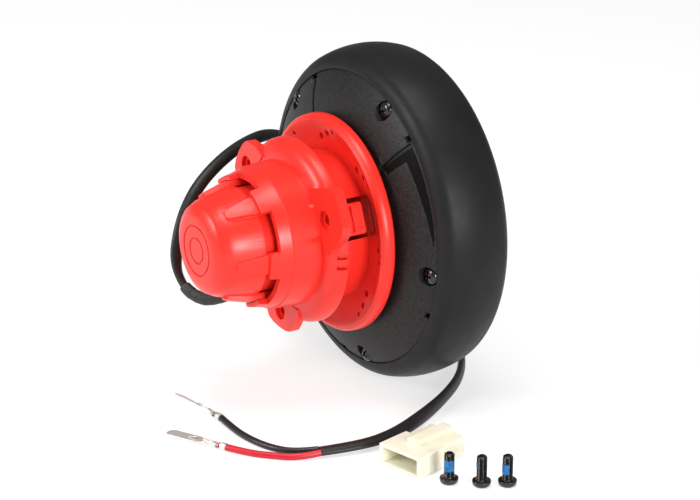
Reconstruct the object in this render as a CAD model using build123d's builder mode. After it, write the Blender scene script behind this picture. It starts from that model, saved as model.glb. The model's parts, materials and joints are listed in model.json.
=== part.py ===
"""Hub motor wheel: a planetary geared drive wheel on a one-sided motor housing, with its lead and kit.

Millimetres. The wheel axis is the Y axis and the nose of the motor housing points along -Y. The origin
is the centre of the three-lug bolt circle, on the floors of the lugs' screw recesses. Polar angles are
counted from +X towards +Z, as seen from the nose.
"""
from build123d import *
import os
from math import atan, cos, pi, radians, sin, sqrt, tan

os.makedirs("parts", exist_ok=True)

# Wheel and tyre
TYRE_R = 82.5  # 6.5 inch wheel
WHEEL_Y = 57.0  # mid plane of the wheel
TYRE_HALF = 19.0
SEAM_R = 72.4  # edge of the covers
RIM_SEAT_R = 66.0
RIM_FLANGE_Y = 41.0  # front face of the rim's front flange
RIM_FLANGE_T = 5.5
FLOOR_Z = -TYRE_R

# Housing on the nose side
LUG_PCR = 41.75  # bolt circle radius of the three lugs
LUG_START = 25.0
LUG_HOLE_R = 2.75  # clearance for M5
RECESS_R = 4.6  # room for the head of an M5 screw, or for a locating boss of that size
EAR_Y = (-2.0, 3.0)
BLOCK_START = LUG_START - 3.0  # the nut blocks and the windows around them sit a little off the holes
RIB_START = LUG_START + 30.0
FLANGE_R = 53.5
FLANGE_FLOOR_Y = 24.0
TUBE_R = 36.2
COLLAR_R = 45.2
COLLAR_BACK_Y = 6.8
NOSE_Y = -49.0

# Gear train, module 1
MODULE = 1.0
PRESSURE = radians(25)
SUN_TEETH, PLANET_TEETH, RING_TEETH = 12, 30, 72
ADDENDUM, DEDENDUM = 0.85, 1.2
FLANK_GAP = 0.09  # thinning of each tooth at the pitch circle
CENTRES = MODULE * (SUN_TEETH + PLANET_TEETH) / 2
PLANET_START = 90.0
PLATE_Y = 33.0  # front face of the gearbox plate
GEAR_Y = (37.5, 49.5)
CARRIER_Y = 51.0
POST_PCR = 29.0
PIN_R = 2.5
CASE_SCREW_PCR = 27.0
CASE_SCREW_START = 60.0

# Motor, 42 mm can
CAN_R = 21.0
CAN_Y = (-36.0, FLANGE_FLOOR_Y)
SHAFT_R = 2.5

# Axle and wheel bearings, 12 x 28 x 8 mm
AXLE_R = 6.0
BEARING_R = 14.0
BEARING_W = 8.0
BEARING_YS = (59.0, 71.0)
BALLS = 8

# Screws
COVER_SCREWS = 5
COVER_SCREW_R = 68.2
COVER_SCREW_START = 65.0
SEAM_NOTCH_START = 46.0
RING_SCREW_R = 47.5

# Lead
CORD_D = 5.2
WIRE_D = 3.3


def facing(y):
    """The plane across the axis at y, seen from the nose: X to the right and Z up."""
    return Plane.XZ.offset(-y)


def half_plane(angle):
    """The half plane through the axis at a polar angle, with the radius and y as its coordinates."""
    c, s = cos(radians(angle)), sin(radians(angle))
    return Plane(origin=(0, 0, 0), x_dir=(c, 0, s), z_dir=(-s, 0, c))


def turn(*points, mode=Mode.ADD):
    """Turn a closed outline of (radius, y) points about the axis."""
    with BuildSketch(Plane.XY) as outline:
        with BuildLine():
            Polyline(*points, close=True)
        make_face()
    revolve(outline.sketch, axis=Axis.Y, mode=mode)


def turn_sector(*points, middle, width, mode=Mode.ADD):
    """Turn an outline through width degrees only, centred on a polar angle."""
    with BuildSketch(half_plane(middle + width / 2)) as outline:
        with BuildLine():
            Polyline(*points, close=True)
        make_face()
    revolve(outline.sketch, axis=Axis.Y, revolution_arc=width, mode=mode)


def rods(radius, y0, y1, ring_r, count, start=0.0, mode=Mode.ADD):
    """Round rods or holes along the axis, on a circle."""
    with BuildSketch(facing(y1)) as ends:
        with PolarLocations(ring_r, count, start):
            Circle(radius)
    extrude(ends.sketch, amount=y1 - y0, mode=mode)


def screws(head_r, head_h, shank_r, y_seat, y_tip, ring_r, count, start, socket_r=1.2):
    """Round-headed screws on a circle: the head stands in front of y_seat, the shank runs to y_tip."""
    forward = 1 if y_tip > y_seat else -1
    seat, top, tip = y_seat, y_seat - forward * head_h, y_tip
    rods(head_r, min(seat, top), max(seat, top), ring_r, count, start)
    rods(shank_r, min(seat, tip), max(seat, tip), ring_r, count, start)
    low, high = sorted((top, top + forward * head_h * 0.5))
    rods(socket_r, low, high, ring_r, count, start, mode=Mode.SUBTRACT)


def involute(angle_tan):
    """Involute function of the pressure angle whose tangent is given."""
    return angle_tan - atan(angle_tan)


def gear_points(teeth, root_r, tip_r, phase, thinning):
    """Corner points of an involute gear, with a tooth centred on the phase angle in degrees."""
    pitch_r = MODULE * teeth / 2
    base_r = pitch_r * cos(PRESSURE)
    low_r = max(root_r, base_r)
    radii = [low_r, (low_r + tip_r) / 2, tip_r]
    flank = [(r, pi / (2 * teeth) + involute(tan(PRESSURE)) - thinning / pitch_r
              - involute(sqrt(max((r / base_r) ** 2 - 1, 0)))) for r in radii]
    if root_r < base_r:
        flank.insert(0, (root_r, flank[0][1]))
    tooth = [(r, -a) for r, a in flank] + [(r, a) for r, a in reversed(flank)]
    turns = [radians(phase) + 2 * pi * i / teeth for i in range(teeth)]
    return [(r * cos(t + a), r * sin(t + a)) for t in turns for r, a in tooth]


def gear_blank(points, y0, y1, centre=(0.0, 0.0), mode=Mode.ADD):
    """A gear's outline run along the axis from y0 to y1."""
    with BuildSketch(facing(y1)) as teeth:
        with Locations(centre):
            Polygon(*points, align=None)
    extrude(teeth.sketch, amount=y1 - y0, mode=mode)


def polar(radius, angle):
    """Sketch coordinates of a point at a radius and polar angle."""
    return radius * cos(radians(angle)), radius * sin(radians(angle))


# ---------------------------------------------------------------- tyre and wheel

CROWN_R, CROWN_HALF = 80.4, 13.0  # where the crown arc meets the shoulder arcs
RIM_BACK_Y = 2 * WHEEL_Y - RIM_FLANGE_Y
BEAD_FRONT, BEAD_BACK = RIM_FLANGE_Y + RIM_FLANGE_T + 0.1, RIM_BACK_Y - RIM_FLANGE_T - 0.1
SIDE_R = SEAM_R + 0.3

with BuildPart() as tyre:
    with BuildSketch(Plane.XY):
        with BuildLine():
            crown = ThreePointArc((CROWN_R, WHEEL_Y - CROWN_HALF), (TYRE_R, WHEEL_Y),
                                  (CROWN_R, WHEEL_Y + CROWN_HALF))
            front = TangentArc((CROWN_R, WHEEL_Y - CROWN_HALF), (SIDE_R, WHEEL_Y - TYRE_HALF),
                               tangent=crown % 0 * -1)
            back = TangentArc((CROWN_R, WHEEL_Y + CROWN_HALF), (SIDE_R, WHEEL_Y + TYRE_HALF), tangent=crown % 1)
            Polyline(front @ 1, (SIDE_R, RIM_FLANGE_Y + 0.3), (RIM_SEAT_R + 6.1, RIM_FLANGE_Y + 0.3),
                     (RIM_SEAT_R + 6.1, BEAD_FRONT), (RIM_SEAT_R + 0.05, BEAD_FRONT),
                     (RIM_SEAT_R + 0.05, BEAD_BACK), (RIM_SEAT_R + 6.1, BEAD_BACK),
                     (RIM_SEAT_R + 6.1, RIM_BACK_Y - 0.3), (SIDE_R, RIM_BACK_Y - 0.3), back @ 1)
        make_face()
    revolve(axis=Axis.Y)
tyre.part.label = "tyre"
export_step(tyre.part, "parts/tyre.step")

BARREL_R = 62.0
WEB_Y = (57.5, 60.5)
HUB_R = 18.5
HUB_BACK_Y = 80.0

with BuildPart() as wheel_rim:
    turn((BARREL_R, RIM_FLANGE_Y), (RIM_SEAT_R + 6, RIM_FLANGE_Y),
         (RIM_SEAT_R + 6, RIM_FLANGE_Y + RIM_FLANGE_T), (RIM_SEAT_R, RIM_FLANGE_Y + RIM_FLANGE_T),
         (RIM_SEAT_R, RIM_BACK_Y - RIM_FLANGE_T),
         (RIM_SEAT_R + 6, RIM_BACK_Y - RIM_FLANGE_T),
         (RIM_SEAT_R + 6, RIM_BACK_Y), (BARREL_R, RIM_BACK_Y), (BARREL_R, WEB_Y[1]), (HUB_R, WEB_Y[1]),
         (HUB_R, HUB_BACK_Y), (BEARING_R, HUB_BACK_Y), (BEARING_R, BEARING_YS[1]),
         (BEARING_R - 1.5, BEARING_YS[1]), (BEARING_R - 1.5, BEARING_YS[0] + BEARING_W),
         (BEARING_R, BEARING_YS[0] + BEARING_W), (BEARING_R, WEB_Y[0]), (BARREL_R, WEB_Y[0]))
    with BuildSketch(facing(RIM_BACK_Y - 3)) as ribs:
        with PolarLocations((HUB_R + BARREL_R) / 2, 10, COVER_SCREW_START):
            Rectangle(BARREL_R - HUB_R + 2, 2.4)
    extrude(ribs.sketch, amount=RIM_BACK_Y - 3 - WEB_Y[0])
    rods(4.5, GEAR_Y[1] + 0.5, WEB_Y[0] + 0.5, RING_SCREW_R, 5, COVER_SCREW_START)
    rods(1.65, RIM_FLANGE_Y, RIM_FLANGE_Y + RIM_FLANGE_T, COVER_SCREW_R, COVER_SCREWS, COVER_SCREW_START,
         mode=Mode.SUBTRACT)
    rods(1.65, RIM_BACK_Y - RIM_FLANGE_T, RIM_BACK_Y, COVER_SCREW_R, COVER_SCREWS, COVER_SCREW_START,
         mode=Mode.SUBTRACT)
    rods(1.7, GEAR_Y[1], WEB_Y[1], RING_SCREW_R, 5, COVER_SCREW_START, mode=Mode.SUBTRACT)
wheel_rim.part.label = "wheel_rim"
export_step(wheel_rim.part, "parts/wheel_rim.step")

COVER_HOLE_R = 32.3
COVER_NOSE_Y = 29.8  # front of the cover around its hole
SHELL = 2.0
POCKET_R = 4.7
POCKET_FLOOR_Y = 39.3
DOME_EDGE = (SEAM_R - 1.0, RIM_FLANGE_Y - 3.4)
DOME_MID = (63.0, 33.5)
DOME_FOOT = (52.0, 30.6)


def dome(depth, r_low=DOME_FOOT[0]):
    """Radius and y points along the cover's domed face, set back by a depth."""
    a, b, c = DOME_EDGE, DOME_MID, DOME_FOOT
    steps = [DOME_EDGE[0] + (r_low - DOME_EDGE[0]) * i / 8 for i in range(9)]
    points = []
    for r in steps:
        y = (a[1] * (r - b[0]) * (r - c[0]) / ((a[0] - b[0]) * (a[0] - c[0]))
             + b[1] * (r - a[0]) * (r - c[0]) / ((b[0] - a[0]) * (b[0] - c[0]))
             + c[1] * (r - a[0]) * (r - b[0]) / ((c[0] - a[0]) * (c[0] - b[0])))
        points.append((r, y + depth))
    return points


def mirrored(points):
    """The same points on the other side of the wheel."""
    return [(r, 2 * WHEEL_Y - y) for r, y in points]


def cover_outline(hole_r, hole_y):
    """Outline of a wheel cover: a domed shell with a solid seat on the rim's flange."""
    outer = [(SEAM_R, RIM_FLANGE_Y), (SEAM_R, DOME_EDGE[1] + 0.8)] + dome(0) + [(hole_r, hole_y)]
    inner = [(hole_r, hole_y + SHELL)] + [p for p in reversed(dome(SHELL)) if p[0] < BARREL_R - 1]
    return outer + inner + [(BARREL_R - 1, RIM_FLANGE_Y)]


with BuildPart() as front_cover:
    turn(*cover_outline(COVER_HOLE_R, COVER_NOSE_Y))
    rods(POCKET_R, 30.0, POCKET_FLOOR_Y, COVER_SCREW_R, COVER_SCREWS, COVER_SCREW_START, mode=Mode.SUBTRACT)
    rods(2.1, POCKET_FLOOR_Y, RIM_FLANGE_Y, COVER_SCREW_R, COVER_SCREWS, COVER_SCREW_START, mode=Mode.SUBTRACT)
    for step in range(5):
        notch = SEAM_NOTCH_START + 72 * step
        turn_sector((SEAM_R - 2.2, 30), (SEAM_R + 1, 30), (SEAM_R + 1, RIM_FLANGE_Y - 0.8),
                    (SEAM_R - 2.2, RIM_FLANGE_Y - 0.8), middle=notch + 2, width=2.6, mode=Mode.SUBTRACT)
    # a narrow joint line at one notch, and at the next a channel that turns along the seam
    turn_sector(*dome(-5), *reversed(dome(0.9)), middle=SEAM_NOTCH_START + 72, width=1.5, mode=Mode.SUBTRACT)
    turn_sector(*dome(-5), *reversed(dome(1.1)), middle=SEAM_NOTCH_START - 1.5, width=3.6, mode=Mode.SUBTRACT)
    for part_width, inner_r in ((16, 67.6), (28, 68.8), (38, 70.2)):
        turn_sector(*dome(-5, inner_r), *reversed(dome(1.1, inner_r)),
                    middle=SEAM_NOTCH_START - part_width / 2, width=part_width, mode=Mode.SUBTRACT)
front_cover.part.label = "front_cover"
export_step(front_cover.part, "parts/front_cover.step")

CAP_R = 20.0
CAP_BACK_Y = 90.0

with BuildPart() as rear_cover:
    turn(*mirrored(cover_outline(CAP_R + 0.3, 28.8)))
    rods(POCKET_R, 2 * WHEEL_Y - POCKET_FLOOR_Y, 84.0, COVER_SCREW_R, COVER_SCREWS, COVER_SCREW_START,
         mode=Mode.SUBTRACT)
    rods(2.1, RIM_BACK_Y, 2 * WHEEL_Y - POCKET_FLOOR_Y, COVER_SCREW_R, COVER_SCREWS, COVER_SCREW_START,
         mode=Mode.SUBTRACT)
rear_cover.part.label = "rear_cover"
export_step(rear_cover.part, "parts/rear_cover.step")

with BuildPart() as hub_cap:
    turn((0, CAP_BACK_Y), (8, CAP_BACK_Y), (16, CAP_BACK_Y - 1.4), (CAP_R, 87.0), (CAP_R, 82.0),
         (HUB_R + 0.2, 78.0), (HUB_R + 0.2, 82.0), (17.6, 86.2), (0, CAP_BACK_Y - 1.6))
hub_cap.part.label = "hub_cap"
export_step(hub_cap.part, "parts/hub_cap.step")

HEAD = (3.9, 2.6)  # radius and height of a cover screw's head

with BuildPart() as front_cover_screws:
    screws(*HEAD, 1.65, POCKET_FLOOR_Y, RIM_FLANGE_Y + RIM_FLANGE_T,
           COVER_SCREW_R, COVER_SCREWS, COVER_SCREW_START)
front_cover_screws.part.label = "front_cover_screws"
export_step(front_cover_screws.part, "parts/front_cover_screws.step")

with BuildPart() as rear_cover_screws:
    screws(*HEAD, 1.65, 2 * WHEEL_Y - POCKET_FLOOR_Y, RIM_BACK_Y - RIM_FLANGE_T,
           COVER_SCREW_R, COVER_SCREWS, COVER_SCREW_START)
rear_cover_screws.part.label = "rear_cover_screws"
export_step(rear_cover_screws.part, "parts/rear_cover_screws.step")

# ---------------------------------------------------------------- gear train

RING_OUTER_R = 42.0
RING_FLANGE_R = 53.0
RING_FRONT_Y = GEAR_Y[0] - 0.5
RING_BACK_Y = GEAR_Y[1] + 0.5
RING_SEAT_Y = RING_BACK_Y - 4
ring_r = MODULE * RING_TEETH / 2

with BuildPart() as ring_gear:
    turn((0, RING_FRONT_Y), (RING_OUTER_R, RING_FRONT_Y), (RING_OUTER_R, RING_SEAT_Y),
         (RING_FLANGE_R, RING_SEAT_Y), (RING_FLANGE_R, RING_BACK_Y), (0, RING_BACK_Y))
    gear_blank(gear_points(RING_TEETH, ring_r - ADDENDUM, ring_r + DEDENDUM, 2.5, -FLANK_GAP),
               RING_FRONT_Y, RING_BACK_Y, mode=Mode.SUBTRACT)
    rods(2.1, RING_SEAT_Y, RING_BACK_Y, RING_SCREW_R, 5, COVER_SCREW_START, mode=Mode.SUBTRACT)
ring_gear.part.label = "ring_gear"
export_step(ring_gear.part, "parts/ring_gear.step")

with BuildPart() as ring_gear_screws:
    screws(3.4, 2.6, 1.65, RING_SEAT_Y, WEB_Y[0], RING_SCREW_R, 5, COVER_SCREW_START)
ring_gear_screws.part.label = "ring_gear_screws"
export_step(ring_gear_screws.part, "parts/ring_gear_screws.step")

sun_r = MODULE * SUN_TEETH / 2
with BuildPart() as sun_gear:
    gear_blank(gear_points(SUN_TEETH, sun_r - DEDENDUM, sun_r + ADDENDUM, PLANET_START, FLANK_GAP),
               GEAR_Y[0] - 0.7, GEAR_Y[1] + 0.5)
    rods(SHAFT_R, 0, 80, 0, 1, mode=Mode.SUBTRACT)
sun_gear.part.label = "sun_gear"
export_step(sun_gear.part, "parts/sun_gear.step")

planet_r = MODULE * PLANET_TEETH / 2
for number in range(3):
    direction = PLANET_START + 120 * number
    with BuildPart() as planet_gear:
        gear_blank(gear_points(PLANET_TEETH, planet_r - DEDENDUM, planet_r + ADDENDUM,
                               direction + 180 / PLANET_TEETH, FLANK_GAP),
                   *GEAR_Y, centre=polar(CENTRES, direction))
        with BuildSketch(facing(GEAR_Y[1])) as bore:
            with Locations(polar(CENTRES, direction)):
                Circle(PIN_R + 0.06)
        extrude(bore.sketch, amount=GEAR_Y[1] - GEAR_Y[0], mode=Mode.SUBTRACT)
        with BuildSketch(facing(GEAR_Y[1])) as windows:
            with Locations(polar(CENTRES, direction)):
                with PolarLocations(8.6, 5, direction):
                    Circle(2.4)
        extrude(windows.sketch, amount=GEAR_Y[1] - GEAR_Y[0], mode=Mode.SUBTRACT)
    planet_gear.part.label = f"planet_gear_{number + 1}"
    export_step(planet_gear.part, f"parts/planet_gear_{number + 1}.step")

PLATE_R = 32.5
PLATE_BACK_Y = PLATE_Y + 3.0
CARRIER_BACK_Y = CARRIER_Y + 5.0

with BuildPart() as gearbox_plate:
    turn((8.0, PLATE_Y), (PLATE_R, PLATE_Y), (PLATE_R, PLATE_BACK_Y), (8.0, PLATE_BACK_Y))
    rods(PIN_R, PLATE_Y, PLATE_BACK_Y, CENTRES, 3, PLANET_START, mode=Mode.SUBTRACT)
    rods(1.7, PLATE_Y, PLATE_BACK_Y, POST_PCR, 3, PLANET_START + 60, mode=Mode.SUBTRACT)
    rods(2.1, PLATE_Y, PLATE_BACK_Y, CASE_SCREW_PCR, 3, CASE_SCREW_START, mode=Mode.SUBTRACT)
    rods(3.6, PLATE_Y + 1.2, PLATE_BACK_Y, CASE_SCREW_PCR, 3, CASE_SCREW_START, mode=Mode.SUBTRACT)
gearbox_plate.part.label = "gearbox_plate"
export_step(gearbox_plate.part, "parts/gearbox_plate.step")

with BuildPart() as planet_pins:
    rods(PIN_R, PLATE_Y, CARRIER_BACK_Y, CENTRES, 3, PLANET_START)
planet_pins.part.label = "planet_pins"
export_step(planet_pins.part, "parts/planet_pins.step")

with BuildPart() as carrier_posts:
    rods(3.8, PLATE_BACK_Y, CARRIER_Y, POST_PCR, 3, PLANET_START + 60)
    rods(1.7, PLATE_BACK_Y, CARRIER_Y, POST_PCR, 3, PLANET_START + 60, mode=Mode.SUBTRACT)
carrier_posts.part.label = "carrier_posts"
export_step(carrier_posts.part, "parts/carrier_posts.step")

with BuildPart() as carrier_bolts:
    rods(1.65, PLATE_Y, CARRIER_BACK_Y - 1.5, POST_PCR, 3, PLANET_START + 60)
    rods(3.2, CARRIER_BACK_Y - 2.0, CARRIER_BACK_Y, POST_PCR, 3, PLANET_START + 60)
carrier_bolts.part.label = "carrier_bolts"
export_step(carrier_bolts.part, "parts/carrier_bolts.step")

with BuildPart() as planet_carrier:
    turn((AXLE_R, CARRIER_Y), (33.6, CARRIER_Y), (33.6, CARRIER_BACK_Y), (AXLE_R, CARRIER_BACK_Y))
    rods(PIN_R, CARRIER_Y, CARRIER_BACK_Y, CENTRES, 3, PLANET_START, mode=Mode.SUBTRACT)
    rods(1.7, CARRIER_Y, CARRIER_BACK_Y, POST_PCR, 3, PLANET_START + 60, mode=Mode.SUBTRACT)
    rods(3.25, CARRIER_BACK_Y - 2.0, CARRIER_BACK_Y, POST_PCR, 3, PLANET_START + 60, mode=Mode.SUBTRACT)
    turn((0, CARRIER_Y), (9.05, CARRIER_Y), (9.05, CARRIER_Y + 2), (0, CARRIER_Y + 2), mode=Mode.SUBTRACT)
planet_carrier.part.label = "planet_carrier"
export_step(planet_carrier.part, "parts/planet_carrier.step")

AXLE_END_Y = 87.4
THREAD_R = 5.0
BEARING_END_Y = BEARING_YS[1] + BEARING_W
SHOULDER_Y = CARRIER_BACK_Y + 2.8

with BuildPart() as axle:
    turn((0, CARRIER_Y + 0.2), (9, CARRIER_Y + 0.2), (9, CARRIER_Y + 2), (AXLE_R, CARRIER_Y + 2),
         (AXLE_R, CARRIER_BACK_Y), (8.2, CARRIER_BACK_Y), (8.2, SHOULDER_Y), (AXLE_R, SHOULDER_Y),
         (AXLE_R, BEARING_END_Y), (THREAD_R, BEARING_END_Y), (THREAD_R, AXLE_END_Y - 0.8),
         (THREAD_R - 0.8, AXLE_END_Y), (0, AXLE_END_Y))
axle.part.label = "axle"
export_step(axle.part, "parts/axle.step")

INNER_RACE_R = (AXLE_R, 8.4)
OUTER_RACE_R = (11.6, BEARING_R)
BALL_PCR = (INNER_RACE_R[1] + OUTER_RACE_R[0]) / 2
BALL_R = 2.3


def race(y, inner_r, outer_r):
    """One bearing ring with its ball groove."""
    turn((inner_r, y), (outer_r, y), (outer_r, y + BEARING_W), (inner_r, y + BEARING_W))
    with BuildSketch(Plane.XY) as groove:
        with Locations((BALL_PCR, y + BEARING_W / 2)):
            Circle(BALL_R + 0.06)
    revolve(groove.sketch, axis=Axis.Y, mode=Mode.SUBTRACT)


with BuildPart() as bearing_inner_rings:
    for y in BEARING_YS:
        race(y, *INNER_RACE_R)
bearing_inner_rings.part.label = "bearing_inner_rings"
export_step(bearing_inner_rings.part, "parts/bearing_inner_rings.step")

with BuildPart() as bearing_outer_rings:
    for y in BEARING_YS:
        race(y, *OUTER_RACE_R)
bearing_outer_rings.part.label = "bearing_outer_rings"
export_step(bearing_outer_rings.part, "parts/bearing_outer_rings.step")

with BuildPart() as bearing_balls:
    for y in BEARING_YS:
        for step in range(BALLS):
            x, z = polar(BALL_PCR, 360 * step / BALLS)
            with Locations((x, y + BEARING_W / 2, z)):
                Sphere(BALL_R)
bearing_balls.part.label = "bearing_balls"
export_step(bearing_balls.part, "parts/bearing_balls.step")

with BuildPart() as bearing_spacer:
    turn((AXLE_R, BEARING_YS[0] + BEARING_W), (8, BEARING_YS[0] + BEARING_W), (8, BEARING_YS[1]),
         (AXLE_R, BEARING_YS[1]))
bearing_spacer.part.label = "bearing_spacer"
export_step(bearing_spacer.part, "parts/bearing_spacer.step")

with BuildPart() as axle_washer:
    turn((THREAD_R, BEARING_END_Y), (8.6, BEARING_END_Y), (8.6, BEARING_END_Y + 1.5),
         (THREAD_R, BEARING_END_Y + 1.5))
axle_washer.part.label = "axle_washer"
export_step(axle_washer.part, "parts/axle_washer.step")

NUT_Y = (BEARING_END_Y + 1.5, BEARING_END_Y + 7.5)
with BuildPart() as axle_nut:
    with BuildSketch(facing(NUT_Y[1])):
        RegularPolygon(8.5, 6, major_radius=False)
    extrude(amount=NUT_Y[1] - NUT_Y[0])
    rods(THREAD_R, *NUT_Y, 0, 1, mode=Mode.SUBTRACT)
axle_nut.part.label = "axle_nut"
export_step(axle_nut.part, "parts/axle_nut.step")

# ---------------------------------------------------------------- fixed flange and motor housing

FLANGE_BACK_Y = 28.0
BOSS_R = (20.5, 30.8)
WINDOW_R = (33.5, 42.0)

with BuildPart() as mounting_flange:
    turn((9.2, FLANGE_FLOOR_Y), (40.0, FLANGE_FLOOR_Y), (44.0, 23.3), (48.6, 21.9), (50.0, 21.0), (50.8, 20.9),
         (52.4, 21.7), (53.3, 23.0), (FLANGE_R, 24.6), (FLANGE_R, 26.6), (52.9, 27.5), (51.6, 27.9),
         (44.0, FLANGE_BACK_Y), (BOSS_R[1], FLANGE_BACK_Y), (BOSS_R[1], PLATE_Y), (BOSS_R[0], PLATE_Y),
         (BOSS_R[0], FLANGE_BACK_Y), (9.2, FLANGE_BACK_Y))
    with BuildSketch(facing(FLANGE_BACK_Y)) as windows:
        with PolarLocations(sum(WINDOW_R) / 2, 3, BLOCK_START):
            RectangleRounded(WINDOW_R[1] - WINDOW_R[0], 19.6, 2.6)
    extrude(windows.sketch, amount=FLANGE_BACK_Y - 20, mode=Mode.SUBTRACT)
    # blind holes in groups of three, left out where they would run into a window
    for radius, ring_r, lead_angle in ((1.75, 42.6, 8.3), (1.5, 45.4, 0.0), (1.1, 47.6, -6.8)):
        for step in range(8):
            angle = lead_angle + 45 * step
            off_window = abs((angle - BLOCK_START + 60) % 120 - 60)
            if ring_r > 47 or off_window > 17.5:
                rods(radius, 18, 25.4, ring_r, 1, angle, mode=Mode.SUBTRACT)
    rods(2.1, FLANGE_FLOOR_Y, PLATE_Y, CASE_SCREW_PCR, 3, CASE_SCREW_START, mode=Mode.SUBTRACT)
    rods(2.1, FLANGE_FLOOR_Y, FLANGE_BACK_Y, 14.5, 2, mode=Mode.SUBTRACT)
mounting_flange.part.label = "mounting_flange"
export_step(mounting_flange.part, "parts/mounting_flange.step")

SLEEVE_FRONT_Y = -22.0
TUBE_BORE_R = 33.0
TAB_Y = -26.6
LUG_BACK_Y = 16.2
NUT_Y0 = 12.0
NUT_FLATS = 8.0
BLOCK_R = (45.2, 46.6)  # radius of the nut block's grooves and of its outer face
BLOCK_DEPTH = 11.0
BLOCK_GROOVES = ((4.5, 7.0), (8.0, 10.5))
OUTLET = (-24.0, 3.0, -33.4)  # where the lead leaves the collar
OUTLET_DIR = Vector(-0.42, -0.84, -0.35).normalized()
OUTLET_FACE = 7.0
outlet_plane = Plane(origin=OUTLET, z_dir=OUTLET_DIR)
# corners of the ears, as the radius and the offset along the tangent; the first ear is the widest
WIDE_EAR = [(34.6, -16), (49.5, -12), (54.5, -9.2), (56.6, -6), (57.2, 3), (57, 10.5), (54, 13.6), (34.6, 16)]
NARROW_EAR = [(34.6, -16), (41, -14.6), (46.5, -11.6), (48.8, -10), (50.2, -6), (50.6, 0), (50.2, 6),
              (48.8, 10), (46.5, 11.6), (41, 14.6), (34.6, 16)]

with BuildPart() as motor_housing:
    turn((29.8, SLEEVE_FRONT_Y), (32.5, SLEEVE_FRONT_Y), (33.9, -16.3), (34.5, -16.0), (35.4, -1.8),
         (37.0, -1.5), (41.5, -0.4), (43.9, 1.7), (45.0, 4.2), (COLLAR_R, COLLAR_BACK_Y), (42.7, COLLAR_BACK_Y),
         (42.0, 3.9), (40.4, 2.2), (TUBE_R, 1.6), (TUBE_R, FLANGE_FLOOR_Y), (TUBE_BORE_R, FLANGE_FLOOR_Y),
         (TUBE_BORE_R, -3.0), (31.6, -14.0), (29.8, -18.5))
    for step in range(6):
        turn_sector((29.6, SLEEVE_FRONT_Y + 2.2), (29.6, TAB_Y), (31.2, TAB_Y), (31.7, TAB_Y + 0.5),
                    (32.6, SLEEVE_FRONT_Y + 0.5), (32.6, SLEEVE_FRONT_Y + 2.2),
                    middle=RIB_START + 60 * step, width=24)
    # lugs: a flat ear across the collar with a nut block behind it
    for ear, corners in enumerate((WIDE_EAR, NARROW_EAR, NARROW_EAR)):
        with BuildSketch(facing(EAR_Y[1])) as plate:
            with PolarLocations(0, 1, LUG_START + 120 * ear):
                Polygon(*corners, align=None)
        extrude(plate.sketch, amount=EAR_Y[1] - EAR_Y[0])
    with BuildSketch(facing(FLANGE_FLOOR_Y + 1)) as tube_windows:
        with PolarLocations(35, 3, BLOCK_START):
            Rectangle(12, 19.6)
    extrude(tube_windows.sketch, amount=FLANGE_FLOOR_Y - COLLAR_BACK_Y, mode=Mode.SUBTRACT)
    with BuildSketch(facing(LUG_BACK_Y)) as nut_blocks:
        with PolarLocations(BLOCK_R[1] - BLOCK_DEPTH / 2, 3, BLOCK_START):
            RectangleRounded(BLOCK_DEPTH, 15.2, 2.0)
    extrude(nut_blocks.sketch, amount=LUG_BACK_Y - EAR_Y[1] + 1)
    for groove_y in BLOCK_GROOVES:
        for step in range(3):
            turn_sector((BLOCK_R[0], groove_y[0]), (BLOCK_R[0] + 8, groove_y[0]),
                        (BLOCK_R[0] + 8, groove_y[1]), (BLOCK_R[0], groove_y[1]),
                        middle=BLOCK_START + 120 * step, width=15, mode=Mode.SUBTRACT)
    rods(LUG_HOLE_R, 0, LUG_BACK_Y, LUG_PCR, 3, LUG_START, mode=Mode.SUBTRACT)
    rods(RECESS_R, EAR_Y[0], 0, LUG_PCR, 3, LUG_START, mode=Mode.SUBTRACT)
    with BuildSketch(facing(LUG_BACK_Y)) as nut_traps:
        with PolarLocations(LUG_PCR, 3, LUG_START):
            RegularPolygon(NUT_FLATS / 2 + 0.1, 6, major_radius=False)
    extrude(nut_traps.sketch, amount=LUG_BACK_Y - NUT_Y0, mode=Mode.SUBTRACT)
    # bosses for the case screws, joined to the tube's wall
    with BuildSketch(facing(FLANGE_FLOOR_Y)) as bosses:
        with PolarLocations(CASE_SCREW_PCR, 3, CASE_SCREW_START):
            Circle(3.7)
        with PolarLocations(CASE_SCREW_PCR + 4, 3, CASE_SCREW_START):
            Rectangle(6, 4)
    extrude(bosses.sketch, amount=16)
    rods(1.95, FLANGE_FLOOR_Y - 14, FLANGE_FLOOR_Y, CASE_SCREW_PCR, 3, CASE_SCREW_START, mode=Mode.SUBTRACT)
    # two finger notches in the collar's back edge
    for angle in (0.3, -6.5):
        turn_sector((40.5, 1.4), (48, 1.4), (48, 8), (40.5, 8), middle=angle, width=3.0, mode=Mode.SUBTRACT)
    # outlet for the lead
    with BuildSketch(outlet_plane) as outlet:
        Circle(6.4)
    extrude(outlet.sketch, amount=OUTLET_FACE)
    with BuildSketch(outlet_plane.offset(-4)) as outlet_hole:
        Circle(4.0)
    extrude(outlet_hole.sketch, amount=OUTLET_FACE + 6, mode=Mode.SUBTRACT)
motor_housing.part.label = "motor_housing"
export_step(motor_housing.part, "parts/motor_housing.step")

CAP_BASE_Y = -27.0
CAP_TONGUE_Y = -13.0

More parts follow.
